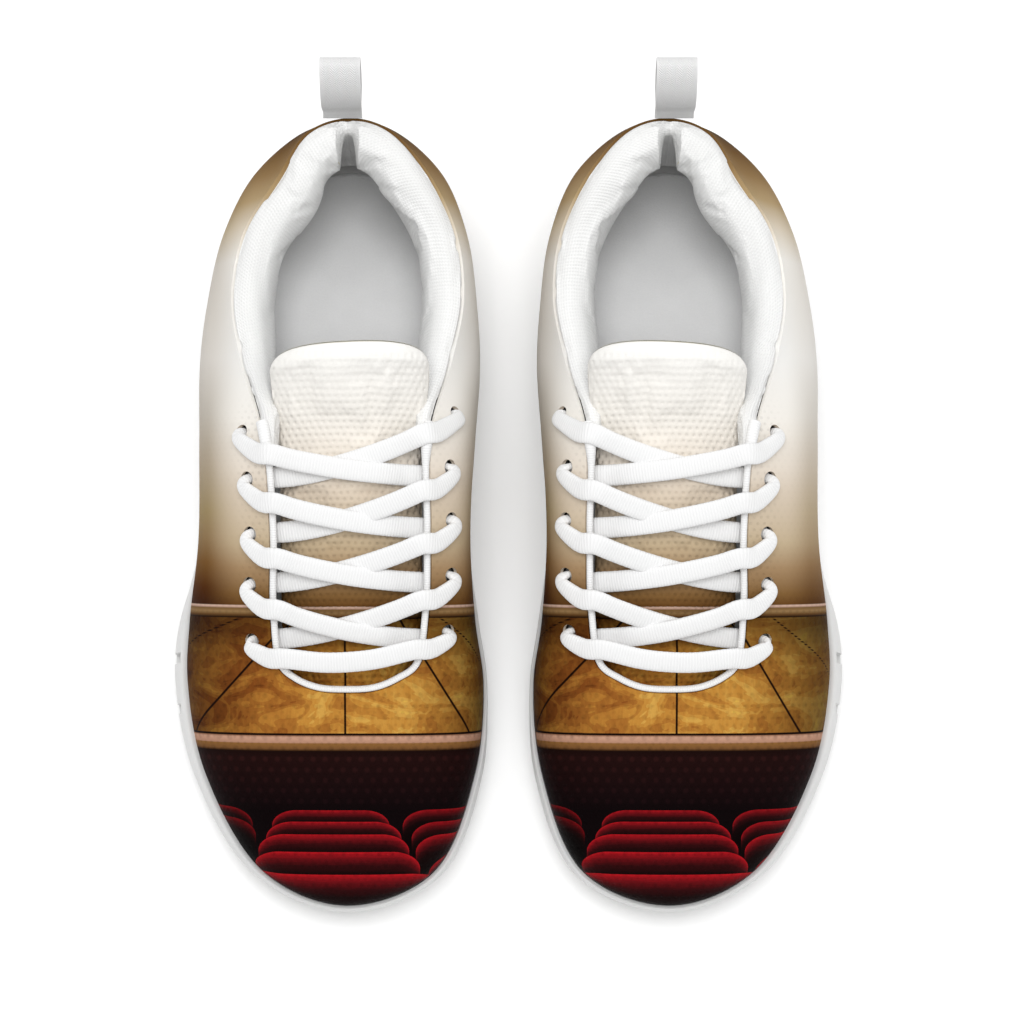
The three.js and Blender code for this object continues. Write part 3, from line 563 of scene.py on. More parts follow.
def collar_grid(side, count=150, rows=64):
    s = collar_stations(side, count)
    path = collar_path(s)
    t = np.concatenate([np.linspace(0, 5, rows * 3 // 4), np.linspace(5, len(path) - 1, rows // 4 + 1)[1:]])
    return np.stack([catmull(path[:, k])(t) for k in range(len(s))])


def grid_normals(points):
    along = np.gradient(points, axis=0)
    across = np.gradient(points, axis=1)
    return unit(np.cross(along, across))


FOAM_FROM = 0.45  # the collar foam starts this many stations from the heel
FOAM_SHORT = 0.75  # and stops this many before the collar's end
FOAM_CLEAR = 0.25
FOAM_ROWS = slice(8, 48, 2)  # the rows of the collar's face that have foam behind them


def behind(face, depth):
    """The grid of points that lies "depth" behind the collar's face."""
    normal = grid_normals(face)
    away = np.sign((normal[:, face.shape[1] // 3, 2]).mean())
    return face - normal * depth * away


def collar_foam_form(side, face):
    """The foam under one lobe: between the knit's back and the stiffened wall."""
    s = collar_stations(side)
    inside = np.minimum(s, COUNT - s)
    kept = (inside > FOAM_FROM) & (inside < COLLAR_END - FOAM_SHORT)
    under = behind(face, KNIT_THICK + FOAM_CLEAR)[kept, FOAM_ROWS]
    S, U = grid(s[kept], np.linspace(0.97, 0.64, under.shape[1]))
    return slab(under, layer(S, U, COUNTER_INNER + 0.2), cloth_along(under))


def collar_form(face):
    return slab(face, behind(face, KNIT_THICK), cloth_along(face))


# ---- piping ----
def piping_form():
    s = np.linspace(COLLAR_TIP - 0.25, COUNT - COLLAR_TIP + 0.25, 520)
    out, up = frame_at(s, 1.0)
    run = arc_length(topline(s))
    end = np.minimum(run, run[-1] - run)
    flare = 1 - smooth((end - 4) / 12)
    radius = PIPING_RADIUS + 0.9 * flare
    centres = surface(s, 1.0) + up * (radius + 0.15)[:, None] - out * (0.9 - 1.4 * flare)[:, None]
    way = unit(np.gradient(centres, axis=0))
    a = unit(out - way * (out * way).sum(-1, keepdims=True))
    return tube(centres, np.cross(way, a), a, 2 * radius, 2 * radius, 20)


# ---- tongue ----
TONGUE_LINE = ((-67, 52), (-50, 60.5), (-38, 66.5), (-12, 76.8), (8, 83), (20, 87), (32, 95), (44, 105))
TONGUE_CORNER = 3.8  # how squarely the top edge turns into the sides
TONGUE_CROWDING = 0.92  # how far the columns crowd toward the sides
TONGUE_PILLOW = 7.5  # the padding reaches its full height this far in from the outline
TONGUE_RIM = 0.16  # share of the thickness left at the outline
TONGUE_FOAM_CLEAR = 0.05  # share of the thickness between the foam and each skin
TONGUE_HALF = ((-67, 18), (-52, 22.5), (-40, 24.3), (12, 24.3), (22, 24.8), (30, 26.4), (36, 27), (44, 26.8))


def tongue_height(y):
    """The tongue's middle line as a smooth curve through its heights."""
    ys, zs = np.array(TONGUE_LINE, float).T
    slope = np.gradient(zs, ys)
    k = np.clip(np.searchsorted(ys, y) - 1, 0, len(ys) - 2)
    h = ys[k + 1] - ys[k]
    t = (y - ys[k]) / h
    return (
        zs[k] * (1 + 2 * t) * (1 - t) ** 2
        + slope[k] * h * t * (1 - t) ** 2
        + zs[k + 1] * t * t * (3 - 2 * t)
        + slope[k + 1] * h * t * t * (t - 1)
    )


def tongue_top(x, y):
    offset = (x - TONGUE_AXIS_X) / TONGUE_ARCH_REACH
    return tongue_height(y) - TONGUE_ARCH * offset * offset


def tongue_out(x, y):
    slope_x = tongue_top(x + 0.5, y) - tongue_top(x - 0.5, y)
    slope_y = (tongue_top(x, y + 3) - tongue_top(x, y - 3)) / 6
    return unit(np.stack([-slope_x, -slope_y, np.ones_like(slope_x)], -1))


def dimples(x, y, pitch):
    """Round hollows on a six-sided lattice, 0 to 1."""
    k = 4 * math.pi / (math.sqrt(3) * pitch)
    slant = x * math.sqrt(3) / 2
    wave = np.cos(k * y) + np.cos(k * (y / 2 + slant)) + np.cos(k * (y / 2 - slant))
    return smooth((wave - 0.2) / 2.6)


def tongue_grid(columns=110, rows=230):
    """Level places of the tongue: across runs -1 to 1, the top edge rounded off and a little aslant."""
    across = np.sin(np.linspace(-1, 1, columns) * math.pi / 2 * TONGUE_CROWDING)
    across = across / math.sin(math.pi / 2 * TONGUE_CROWDING)
    along = np.linspace(0, 1, rows)
    A, B = np.meshgrid(across, along, indexing="ij")
    corner = 1 - (1 - np.minimum(np.abs(A), 1) ** TONGUE_CORNER) ** (1 / TONGUE_CORNER)
    top = TONGUE_TOP_Y + 1.0 * A - (TONGUE_TOP_Y - TONGUE_SIDE_Y) * corner
    y = TONGUE_BASE_Y + (top - TONGUE_BASE_Y) * B
    half = np.interp(y, *np.array(TONGUE_HALF, float).T)
    kernel = np.ones(9) / 9
    padded = np.pad(half, ((0, 0), (4, 4)), mode="edge")
    half = np.stack([np.convolve(row, kernel, mode="valid") for row in padded])
    return A, B, TONGUE_AXIS_X + A * half, y


def tongue_edge(A, B, y):
    """Distance from the tongue's outline, mm, and 0 at its base, where it is sewn flat."""
    side = (1 - np.abs(A)) * 22
    top = (1 - B) * (y[:, -1:] - TONGUE_BASE_Y)
    corner = np.minimum(side, top)
    return np.minimum(corner, (y - TONGUE_BASE_Y) * 0.6 + 1.2)


def tongue_surface(share, dimpled=0.0, wave=None):
    """A grid through the padded tongue: share 0 is its face, 1 its lining; all meet at the outline."""
    A, B, x, y = tongue_grid()
    edge = tongue_edge(A, B, y)
    crown = (1 - np.clip(1 - edge / TONGUE_PILLOW, 0, 1) ** 2.4) ** 0.5
    middle = TONGUE_THICK / 2
    out = tongue_out(x, y)
    spread = (share - 0.5) * TONGUE_THICK * np.maximum(crown, TONGUE_RIM)
    rough = dimpled * (dimples(x, y, DIMPLE_PITCH) - 0.35) * np.clip(edge / 1.5, 0.5, 1)
    lift = 0.0 if wave is None else wave
    p = np.stack([x, y, tongue_top(x, y)], -1)
    return p - out * (middle + spread + rough - lift)[..., None], np.stack([x, y], -1)


def tongue_forms(wave=None):
    skin = TONGUE_SKIN / TONGUE_THICK
    face, cloth = tongue_surface(0.0, DIMPLE_DEPTH, wave)
    under = tongue_surface(skin, wave=wave)[0]
    foam_top = tongue_surface(skin + TONGUE_FOAM_CLEAR, wave=wave)[0]
    foam_low = tongue_surface(1 - skin - TONGUE_FOAM_CLEAR)[0]
    lining_top = tongue_surface(1 - skin)[0]
    lining = tongue_surface(1.0)[0]
    every = (slice(None, None, 3), slice(None, None, 3))
    return {
        "face": slab(face, under, cloth),
        "foam": slab(foam_top[every], foam_low[every], cloth[every]),
        "lining": slab(lining_top, lining, cloth),
    }


# ---- lace ----
OVER_SURFACE = 1.5
UNDER_SURFACE = STAY_DEPTH + STAY_THICK + 1.65
OVER_TONGUE = 1.7
CROSS_LIFT = 2.3
LACE_STEP = 0.45  # length of one section of the finished lace
LACE_EASE = 1.5  # its bends are smoothed over about this length
LACE_RIPPLE = 0.008  # share by which its edges ripple
LACE_RIPPLE_PITCH = 1.9


def knot(p, out, width=LACE_WIDTH, thick=LACE_THICK):
    return {"p": np.asarray(p, float), "out": np.asarray(out, float), "width": width, "thick": thick}


def beside(side, y, distance, lift, width, thick=LACE_THICK):
    """A section "distance" outward of the throat edge, lifted off the upper's face or put under it."""
    s, u = beside_throat(side, y, distance)
    return knot(layer(s, u, -lift), frame_at(s, u)[0], width, thick)


def hook(side, eyelet, drop):
    """From the tongue over the piped edge, slanting out past the eyelet and back into it."""
    y = eyelet["centre"][1]
    station = throat_station(side, y - drop)
    out, up = frame_at(station, 1.0)
    inside = surface(station, 1.0) + up * (2 * PIPING_RADIUS + 2) + out * (OVER_SURFACE + 1)
    return [
        knot(inside, out),
        beside(side, y - drop, 0.01, OVER_SURFACE + 0.9, 6.9),
        beside(side, y - 0.76 * drop, 0.45 * EYELET_INSET, OVER_SURFACE + 0.5, 6.4, 2.4),
        beside(side, y - 0.46 * drop, 0.86 * EYELET_INSET, OVER_SURFACE + 0.4, 5.5, 2.5),
        beside(side, y - 0.16 * drop, EYELET_INSET + 0.9, OVER_SURFACE + 0.2, 4.5, 2.5),
    ]


def through_eyelet(eyelet):
    lifts = (0.9, -1.2, -3.3)
    return [knot(eyelet["centre"] + lift * eyelet["out"], eyelet["out"], LACE_HOLE_WIDTH) for lift in lifts]


def strand(from_side, start_eyelet, end_eyelet):
    """One run out from under an eyelet, across the tongue and over the other side into the next one."""
    y = start_eyelet["centre"][1] - UNDER_DROP[from_side]
    start = beside(from_side, y, 0.01, -UNDER_SURFACE - 0.2, 6.8)
    over = hook(OTHER[from_side], end_eyelet, HOOK_DROP)
    end = over[0]["p"]
    top = CROSS_LIFT if from_side == "medial" else 0.0

    def on_tongue(share, lift):
        px = mix(start["p"][0], end[0], share)
        py = mix(start["p"][1], end[1], share ** BEND[from_side])
        pz = max(float(tongue_top(px, py)) + OVER_TONGUE, mix(start["p"][2], end[2], share)) + lift
        return knot((px, py, pz), tongue_out(np.array(px), np.array(py)))

    shares = ((0.12, 0.0), (0.27, 0.7), (0.5, 1.0), (0.73, 0.7), (0.88, 0.0))
    crossing = [on_tongue(share, lift * top) for share, lift in shares]
    return [beside(from_side, y, 0.62 * EYELET_INSET, -UNDER_SURFACE - 0.2, 4.6), start, *crossing, *over]


LACE_TAIL = (
    (0.12, 0.07, 5.6, 4.5),
    (0.3, 0.15, 6.6, 6),
    (0.55, 0.25, 7, 6),
    (0.85, 0.34, 7, 5),
    (1.2, 0.42, 7, 3.2),
)


def lace_half(start_side):
    """From the first eyelet of one side up to the last one, and the tucked end."""
    sides = {name: eyelets(name) for name in OTHER}
    knots, side = through_eyelet(sides[start_side][0]), start_side
    for i in range(4):
        to = sides[OTHER[side]][i + 1]
        knots += strand(side, sides[side][i], to) + through_eyelet(to)
        side = OTHER[side]
    last, toward = sides[side][4], (1 if side == "lateral" else -1)
    for ds, du, depth, width in LACE_TAIL:
        s, u = last["s"] + toward * ds, last["u"] - du
        knots.append(knot(layer(s, u, depth), frame_at(s, u)[0], width))
    return knots


def lace_knots():
    ends = [hook(side, eyelets(side)[0], BAR_DROP) for side in ("lateral", "medial")]
    middle = []
    for share in (0.3, 0.5, 0.7):
        p = mix(ends[0][0]["p"], ends[1][0]["p"], share)
        sag = 4 * share * (1 - share)
        p[1] -= BAR_SAG * sag
        p[2] = max(p[2] + sag, float(tongue_top(p[0], p[1])) + OVER_TONGUE)
        middle.append(knot(p, tongue_out(p[0:1], p[1:2])[0]))
    return lace_half("lateral")[::-1] + ends[0][::-1] + middle + ends[1] + lace_half("medial")


def lace_frames(knots):
    """The way the lace's flat side runs at each section, never flipping over."""
    p = np.array([k["p"] for k in knots])
    way = unit(np.gradient(p, axis=0))
    before, found = np.array((0.0, 1, 0)), []
    for k, run in zip(knots, way):
        w = np.cross(run, k["out"])
        if w @ before < 0:
            w = -w
        if np.linalg.norm(w) < 0.5:
            w = mix(w, before, 0.6)
        w = unit(w - run * (w @ run))
        found.append(w)
        before = w
    return np.array(found)


def eased(rows, reach):
    """Rows along a line, each averaged with its neighbours within about "reach" rows; the ends stay put."""
    span = int(3 * reach)
    weight = np.exp(-0.5 * (np.arange(-span, span + 1) / reach) ** 2)
    weight /= weight.sum()
    before = 2 * rows[:1] - rows[span:0:-1]
    after = 2 * rows[-1:] - rows[-2 : -span - 2 : -1]
    padded = np.concatenate([before, rows, after])
    return np.stack([np.convolve(column, weight, mode="valid") for column in padded.T], -1)


def lace_line(knots):
    """The lace as one even, smooth line: places, flat directions, widths and thicknesses."""
    p = np.array([k["p"] for k in knots])
    state = np.column_stack([lace_frames(knots), [k["width"] for k in knots], [k["thick"] for k in knots]])
    t = np.linspace(0, len(knots) - 1, 6000)
    fine = catmull(p)(t)
    run = arc_length(fine)
    even = np.interp(np.arange(0, run[-1], LACE_STEP), run, t)
    k = np.clip(np.floor(even).astype(int), 0, len(knots) - 2)
    blend = smooth(even - k)[:, None]
    state = state[k] * (1 - blend) + state[k + 1] * blend
    centres = eased(catmull(p)(even), LACE_EASE / LACE_STEP)
    state = eased(state, LACE_EASE / LACE_STEP)
    way = unit(np.gradient(centres, axis=0))
    across = unit(state[:, :3] - way * (state[:, :3] * way).sum(-1, keepdims=True))
    return centres, across, np.cross(way, across), state[:, 3], state[:, 4]


def lace_form(knots):
    centres, across, up, width, thick = lace_line(knots)
    ripple = 1 + LACE_RIPPLE * np.sin(arc_length(centres) * 2 * math.pi / LACE_RIPPLE_PITCH)
    return tube(centres, across, up, width * ripple, thick, 22, power=2.6)


def aglet_form(knots, end):
    tip, before = (knots[0]["p"], knots[1]["p"]) if end == 0 else (knots[-1]["p"], knots[-2]["p"])
    run = unit(tip - before)
    a = unit(np.cross((0.3, 1, 0.2), run))
    t = np.linspace(0, 1, 40)
    radius = AGLET_RADIUS * (1 - 0.12 * np.exp(-(((t - 0.25) / 0.03) ** 2)))
    radius *= np.minimum(1, np.sqrt(np.minimum(t, 1 - t) * 14) * 0.5 + 0.5)
    centres = tip + run * (GAP + AGLET_LENGTH * t)[:, None]
    same = np.ones((len(t), 1))
    return tube(centres, a * same, np.cross(run, a) * same, 2 * radius, 2 * radius, 24)


# ---- pull tab ----
TAB_DRAWN = 29  # the length for which the two outlines below are drawn
TAB_OUTER = ((-1.6, 0.9), (1, 1.6), (4, 2.1), (9, 3.9), (15, 4.9), (21, 4.8), (26, 3.4), (28.8, 1.3))
TAB_INNER = ((3.4, 0.25), (4.2, 0.6), (6, 1.1), (9.6, 2.4), (15, 3.4), (20.6, 3.3), (25, 2.1), (27.1, 0.6))


def tab_place(v, w, x):
    """A place on the pull tab: v up along it, w back from its middle plane, x across."""
    foot = topline(0.0)
    hinge = foot + (TAB_SHIFT, 1.2, 2.1)
    axis = np.array((0, math.sin(TAB_LEAN), math.cos(TAB_LEAN)))
    back = np.array((0, math.cos(TAB_LEAN), -math.sin(TAB_LEAN)))
    return hinge + v[..., None] * axis + w[..., None] * back + x[..., None] * np.array((1.0, 0, 0))


def tab_form(columns=34):
    scale = TAB_LENGTH / TAB_DRAWN

    def loop(half):
        points = [(v * scale, w, 0) for v, w in half]
        points += [(v * scale, -w, 0) for v, w in half][::-1]
        return catmull(points, closed=True)(np.linspace(0, len(points), 241))

    x = np.linspace(-0.5, 0.5, columns)
    grids = []
    for half in (TAB_OUTER, TAB_INNER):
        line = loop(half)
        V, X = np.meshgrid(line[:, 0], x * TAB_WIDTH, indexing="ij")
        W = np.repeat(line[:, 1:2], columns, axis=1)
        narrow = 1 - 0.05 * np.exp(-((V - 2) / 5) ** 2)
        grids.append((tab_place(V, W, X * narrow), line))
    run = arc_length(grids[0][1])
    cloth = np.stack(np.meshgrid(run, x * TAB_WIDTH, indexing="ij"), -1)
    return slab(grids[0][0][:-1], grids[1][0][:-1], cloth, ring=True)


# ---- sole ----
SOLE_RING = np.linspace(0, COUNT, 361)[:-1]


def floor_at(y):
    toe, heel = np.maximum(0, (-62 - y) / 72), np.maximum(0, (y - 105) / 22)
    return TOE_SPRING * toe * toe + HEEL_BEVEL * heel * heel


def sole_ring(inset, height):
    p = sole_edge(SOLE_RING) - outward_flat(SOLE_RING) * inset
    p[:, 2] = floor_at(p[:, 1]) + height
    return p


def bed_ring(inset, height):
    return feather(SOLE_RING) - outward_flat(SOLE_RING) * inset + UP * height


def through(rings, count):
    """More rings, on smooth columns through the given ones."""
    rings = np.stack(rings)
    t = np.linspace(0, len(rings) - 1, count)
    return np.stack([catmull(rings[:, k])(t) for k in range(rings.shape[1])], axis=1)


def rim_ring(lift, pull):
    """The sole's top edge, outside the upper: pull takes it toward the widest sole edge."""
    inner = layer(SOLE_RING, 0.12, -0.5)
    p = inner + outward_flat(SOLE_RING) * lift
    edge = sole_edge(SOLE_RING)
    return p + (edge * (1, 1, 0) + inner * (0, 0, 1) - p) * pull


def midsole_form():
    wall = through(
        [
            sole_ring(1.9, OUTSOLE_THICK + GAP),
            sole_ring(0.5, OUTSOLE_THICK + GAP + 1.8),
            sole_ring(0.25, 7.5),
            sole_ring(0.0, 10.5),
            sole_ring(0.1, 12.8),
            rim_ring(1.3, 0.4) - UP * 0.6,
            rim_ring(0.9, 0.22) + UP * 0.25,
            rim_ring(0.0, 0.0),
        ],
        46,
    )
    lip = layer(SOLE_RING, 0.05, -0.4)
    bed = feather(SOLE_RING) + outward_flat(SOLE_RING) * 0.5 - UP * 0.4
    return stack(np.concatenate([wall, np.stack([lip, bed])]))


NICKS = ((-49, 3.6, 8), (-65.8, 3.4, 8), (-90, 2.6, 8))  # y, width and lowest point of each side groove
NICK_DEPTH = 0.9
NICK_TOP = 40.0
SIDE_X = -56.5  # the sole's lateral side at the ball
SIDE_TAPER = 0.17  # how fast that side runs inward from there to the toe
OUTSIDE_X = -90


def nick_tools(side):
    tools = []
    for y, width, low in NICKS:
        x = SIDE_X + max(0, -y - 66) * SIDE_TAPER + NICK_DEPTH
        front, back = y + width / 2, y - width / 2
        corners = [(x, front), (x, back), (OUTSIDE_X, back), (OUTSIDE_X, front)]
        rings = np.array([[(*c, z) for c in corners] for z in (low, NICK_TOP)])
        tools.append(mesh_of("nick_tool", stack(rings), side))
    return tools


def outsole_form():
    rings = [
        sole_ring(4.4, TREAD_DEPTH),
        sole_ring(2.5, TREAD_DEPTH + 0.2),
        sole_ring(2.0, TREAD_DEPTH + 0.8),
        sole_ring(1.9, OUTSOLE_THICK),
    ]
    return stack(through(rings, 9))


def sockliner_form():
    base = BOARD_THICK + GAP - 0.1
    top = base + SOCKLINER_THICK
    rings = [
        bed_ring(BED_INSET, base),
        bed_ring(BED_INSET, top - 1.4),
        bed_ring(BED_INSET + 0.25, top - 0.5),
        bed_ring(BED_INSET + 1, top),
    ]
    edge = rings[-1]
    across = edge[-np.arange(len(edge))]
    for share in np.linspace(0.015, 0.47, 30):
        rings.append(mix(edge, across, share) - UP * 0.9 * smooth(share * 4))
    rings = np.stack(rings)
    cloth = np.concatenate([rings, rings[:, :1]], axis=1)[..., :2]
    return stack(rings, cloth)


# ---- what repeats ----
def new_tree(name, inputs):
    """A geometry tree with a named input for each size."""
    tree = bpy.data.node_groups.new(name, "GeometryNodeTree")
    tree.interface.new_socket("Geometry", in_out="INPUT", socket_type="NodeSocketGeometry")
    tree.interface.new_socket("Geometry", in_out="OUTPUT", socket_type="NodeSocketGeometry")
    for label, kind in inputs.items():
        tree.interface.new_socket(label, in_out="INPUT", socket_type=kind)
    return tree


def add_node(tree, kind, settings=None, values=None):
    """A node of a tree: settings are set first, then the values or links of its sockets."""
    node = tree.nodes.new(kind)
    for key, value in (settings or {}).items():
        setattr(node, key, value)
    for key, value in (values or {}).items():
        if isinstance(value, bpy.types.NodeSocket):
            tree.links.new(value, node.inputs[key])
        else:
            node.inputs[key].default_value = value
    return node


def stitch_tree():
    """Rounded stitches laid end to end along every edge of the mesh it is given."""
    sizes = {"Spacing": "NodeSocketFloat", "Length": "NodeSocketFloat", "Thickness": "NodeSocketFloat"}
    tree = new_tree("stitches", {**sizes, "Material": "NodeSocketMaterial"})
    given = add_node(tree, "NodeGroupInput").outputs
    line = add_node(tree, "GeometryNodeMeshToCurve", None, {"Mesh": given["Geometry"]}).outputs["Curve"]
    points = add_node(
        tree, "GeometryNodeCurveToPoints", {"mode": "LENGTH"}, {"Curve": line, "Length": given["Spacing"]}
    ).outputs
    bead = add_node(tree, "GeometryNodeMeshUVSphere", None, {"Segments": 8, "Rings": 6, "Radius": 0.5})
    size = add_node(
        tree,
        "ShaderNodeCombineXYZ",
        None,
        {"X": given["Thickness"], "Y": given["Thickness"], "Z": given["Length"]},
    )
    copies = add_node(
        tree,
        "GeometryNodeInstanceOnPoints",
        None,
        {
            "Points": points["Points"],
            "Instance": bead.outputs["Mesh"],
            "Rotation": points["Rotation"],
            "Scale": size.outputs["Vector"],
        },
    )
    finish_tree(tree, copies.outputs["Instances"], given["Material"])
    return tree


def tread_tree():
    """A rounded lug standing down from every point it is given."""
    sizes = {"Width": "NodeSocketFloat", "Length": "NodeSocketFloat", "Depth": "NodeSocketFloat"}
    tree = new_tree("tread", {**sizes, "Material": "NodeSocketMaterial"})
    given = add_node(tree, "NodeGroupInput").outputs
    lug = add_node(
        tree,
        "GeometryNodeMeshCylinder",
        None,
        {"Vertices": 6, "Side Segments": 1, "Radius": 0.5, "Depth": 1.0},
    )
    size = add_node(
        tree, "ShaderNodeCombineXYZ", None, {"X": given["Width"], "Y": given["Length"], "Z": given["Depth"]}
    )
    copies = add_node(
        tree,
        "GeometryNodeInstanceOnPoints",
        None,
        {"Points": given["Geometry"], "Instance": lug.outputs["Mesh"], "Scale": size.outputs["Vector"]},
    )
    finish_tree(tree, copies.outputs["Instances"], given["Material"])
    return tree


def finish_tree(tree, instances, material):
    real = add_node(tree, "GeometryNodeRealizeInstances", None, {"Geometry": instances})
    coloured = add_node(
        tree, "GeometryNodeSetMaterial", None, {"Geometry": real.outputs["Geometry"], "Material": material}
    )
    add_node(tree, "NodeGroupOutput", None, {"Geometry": coloured.outputs["Geometry"]})


def grown(name, points, edges, tree, inputs, side):
    """The plain mesh that a tree makes from points, in mm, with its inputs set by name."""
    mesh = bpy.data.meshes.new(name)
    places = (np.asarray(points) + SHIFT) * ((-1, 1, 1) if side == "left" else (1, 1, 1)) * MM
    mesh.from_pydata([tuple(p) for p in places], edges, [])
    seed = bpy.data.objects.new(name + "_seed", mesh)
    bpy.context.scene.collection.objects.link(seed)
    modifier = seed.modifiers.new(tree.name, "NODES")
    modifier.node_group = tree
    for item in tree.interface.items_tree:
        if item.in_out == "INPUT" and item.name in inputs:
            modifier[item.identifier] = inputs[item.name]
    made = baked(seed)
    bpy.data.objects.remove(seed)
    made.polygons.foreach_set("use_smooth", np.ones(len(made.polygons), bool))
    return made


def chain(lines):
    """Several open lines as one list of points and edges."""
    points, edges = [], []
    for line in lines:
        first = len(points)
        points += list(line)
        edges += [(k, k + 1) for k in range(first, len(points) - 1)]
    return points, edges


# ---- finishes ----
class Value:
    """A number on its way through a material's nodes."""

    def __init__(self, tree, socket):
        self.tree, self.socket = tree, socket

    def _do(self, operation, *values):
        node = self.tree.nodes.new("ShaderNodeMath")
        node.operation = operation
        for k, value in enumerate(values):
            if isinstance(value, Value):
                self.tree.links.new(value.socket, node.inputs[k])
            else:
                node.inputs[k].default_value = value
        return Value(self.tree, node.outputs[0])

    def __add__(self, other):
        return self._do("ADD", self, other)

    def __sub__(self, other):
        return self._do("SUBTRACT", self, other)

    def __rsub__(self, other):
        return self._do("SUBTRACT", other, self)

    def __mul__(self, other):
        return self._do("MULTIPLY", self, other)

    def __truediv__(self, other):
        return self._do("DIVIDE", self, other)

    def __gt__(self, other):
        return self._do("GREATER_THAN", self, other)

    def __lt__(self, other):
        return self._do("LESS_THAN", self, other)

    def __pow__(self, other):
        return self._do("POWER", self, other)

    def __abs__(self):
        return self._do("ABSOLUTE", self)

    __radd__ = __add__
    __rmul__ = __mul__

    def cos(self):
        return self._do("COSINE", self)

    def sin(self):
        return self._do("SINE", self)

    def floor(self):
        return self._do("FLOOR", self)

    def frac(self):
        return self._do("FRACT", self)

    def at_least(self, other):
        return self._do("MAXIMUM", self, other)

    def at_most(self, other):
        return self._do("MINIMUM", self, other)

    def ramp(self, low, high):
        """0 up to low, 1 from high on, and smooth between."""
        node = self.tree.nodes.new("ShaderNodeMapRange")
        node.interpolation_type = "SMOOTHSTEP"
        self.tree.links.new(self.socket, node.inputs["Value"])
        lowest, highest = min(low, high), max(low, high)
        node.inputs["From Min"].default_value = lowest
        node.inputs["From Max"].default_value = highest
        made = Value(self.tree, node.outputs["Result"])
        return made if low < high else 1 - made


class Finish:
    """One material: a principled surface and short ways to reach its nodes."""

    def __init__(self, name, roughness=0.8, sheen=0.0, specular=0.3):
        self.material = bpy.data.materials.new(name)
        self.material.use_nodes = True
        self.tree = self.material.node_tree
        self.shader = self.tree.nodes["Principled BSDF"]
        self.shader.inputs["Roughness"].default_value = roughness
        self.shader.inputs["Sheen Weight"].default_value = sheen
        self.shader.inputs["Sheen Roughness"].default_value = 0.5
        self.shader.inputs["Specular IOR Level"].default_value = specular

    def node(self, kind, settings=None, values=None):
        plain = {k: v.socket if isinstance(v, Value) else v for k, v in (values or {}).items()}
        return add_node(self.tree, kind, settings, plain)

    def cloth(self):
        """Where a point lies on its cloth, mm: along and across."""
        place = self.node("ShaderNodeUVMap", {"uv_map": "cloth"}).outputs["UV"]
        return self.split(place) + (place,)

    def object_place(self):
        """Where a point lies in the row frame, mm."""
        place = self.node("ShaderNodeTexCoord").outputs["Object"]
        scaled = self.node("ShaderNodeVectorMath", {"operation": "SCALE"}, {0: place, "Scale": 1 / MM})
        return scaled.outputs["Vector"]

    def split(self, vector):
        parts = self.node("ShaderNodeSeparateXYZ", None, {"Vector": vector}).outputs
        return Value(self.tree, parts["X"]), Value(self.tree, parts["Y"])

    def joined(self, x, y, z=0.0):
        return self.node("ShaderNodeCombineXYZ", None, {"X": x, "Y": y, "Z": z}).outputs["Vector"]

    def noise(self, vector, scale, detail=2.0, roughness=0.5, distortion=0.0):
        values = {"Vector": vector, "Scale": scale, "Detail": detail, "Roughness": roughness,
                  "Distortion": distortion}
        return Value(self.tree, self.node("ShaderNodeTexNoise", None, values).outputs["Fac"])

    def mix(self, share, a, b):
        node = self.node("ShaderNodeMix", {"data_type": "RGBA"})
        for key, value in ((0, share), (6, a), (7, b)):
            socket = value.socket if isinstance(value, Value) else value
            if isinstance(socket, bpy.types.NodeSocket):
                self.tree.links.new(socket, node.inputs[key])
            else:
                node.inputs[key].default_value = socket
        return node.outputs[2]

    def shaded(self, base, amount):
        """The colour made darker or lighter by a number."""
        start = base if isinstance(base, bpy.types.NodeSocket) else base[:3]
        return self.node(
            "ShaderNodeVectorMath", {"operation": "SCALE"}, {0: start, "Scale": amount}
        ).outputs["Vector"]

    def stops(self, value, table):
        """A colour for each place on a scale; table rows are place, colour code, in rising order."""
        low, high = table[0][0], table[-1][0]
        share = (value - low) / (high - low)
        node = self.node("ShaderNodeValToRGB", None, {"Fac": share})
        ramp = node.color_ramp
        while len(ramp.elements) < len(table):
            ramp.elements.new(0.5)
        for element, (place, code) in zip(ramp.elements, table):
            element.position = (place - low) / (high - low)
            element.color = colour(code)
        return node.outputs["Color"]

    def finish(self, base, height=None, depth=0.0, roughness=None):
        """Sets the surface: its colour, a height that is 0 to 1 over "depth" mm, and its roughness."""
        if isinstance(base, bpy.types.NodeSocket):
            self.tree.links.new(base, self.shader.inputs["Base Color"])
        else:
            self.shader.inputs["Base Color"].default_value = base
        if height is not None:
            relief = {"Height": height, "Distance": depth * MM, "Strength": 1.0}
            bump = self.node("ShaderNodeBump", None, relief)
            self.tree.links.new(bump.outputs["Normal"], self.shader.inputs["Normal"])
        if roughness is not None:
            self.tree.links.new(roughness.socket, self.shader.inputs["Roughness"])
        return self.material


def colour(code):
    """A colour code such as 8a6d48 as linear red, green and blue."""
    parts = [int(code[k : k + 2], 16) / 255 for k in (0, 2, 4)]
    return (*[c / 12.92 if c <= 0.04045 else ((c + 0.055) / 1.055) ** 2.4 for c in parts], 1.0)


def lattice(x, y, pitch):
    """Round hollows on a six-sided lattice, 0 to 1."""
    k = 4 * math.pi / (math.sqrt(3) * pitch)
    a, b = y * (k / 2), x * (k * math.sqrt(3) / 2)
    wave = (y * k).cos() + (a + b).cos() + (a - b).cos()
    return wave.ramp(0.2, 2.8)


def weave(x, y, pitch):
    """Crossing threads, 0 to 1."""
    k = 2 * math.pi / pitch
    return ((x * k).sin() * (y * k).sin() + 1) * 0.5


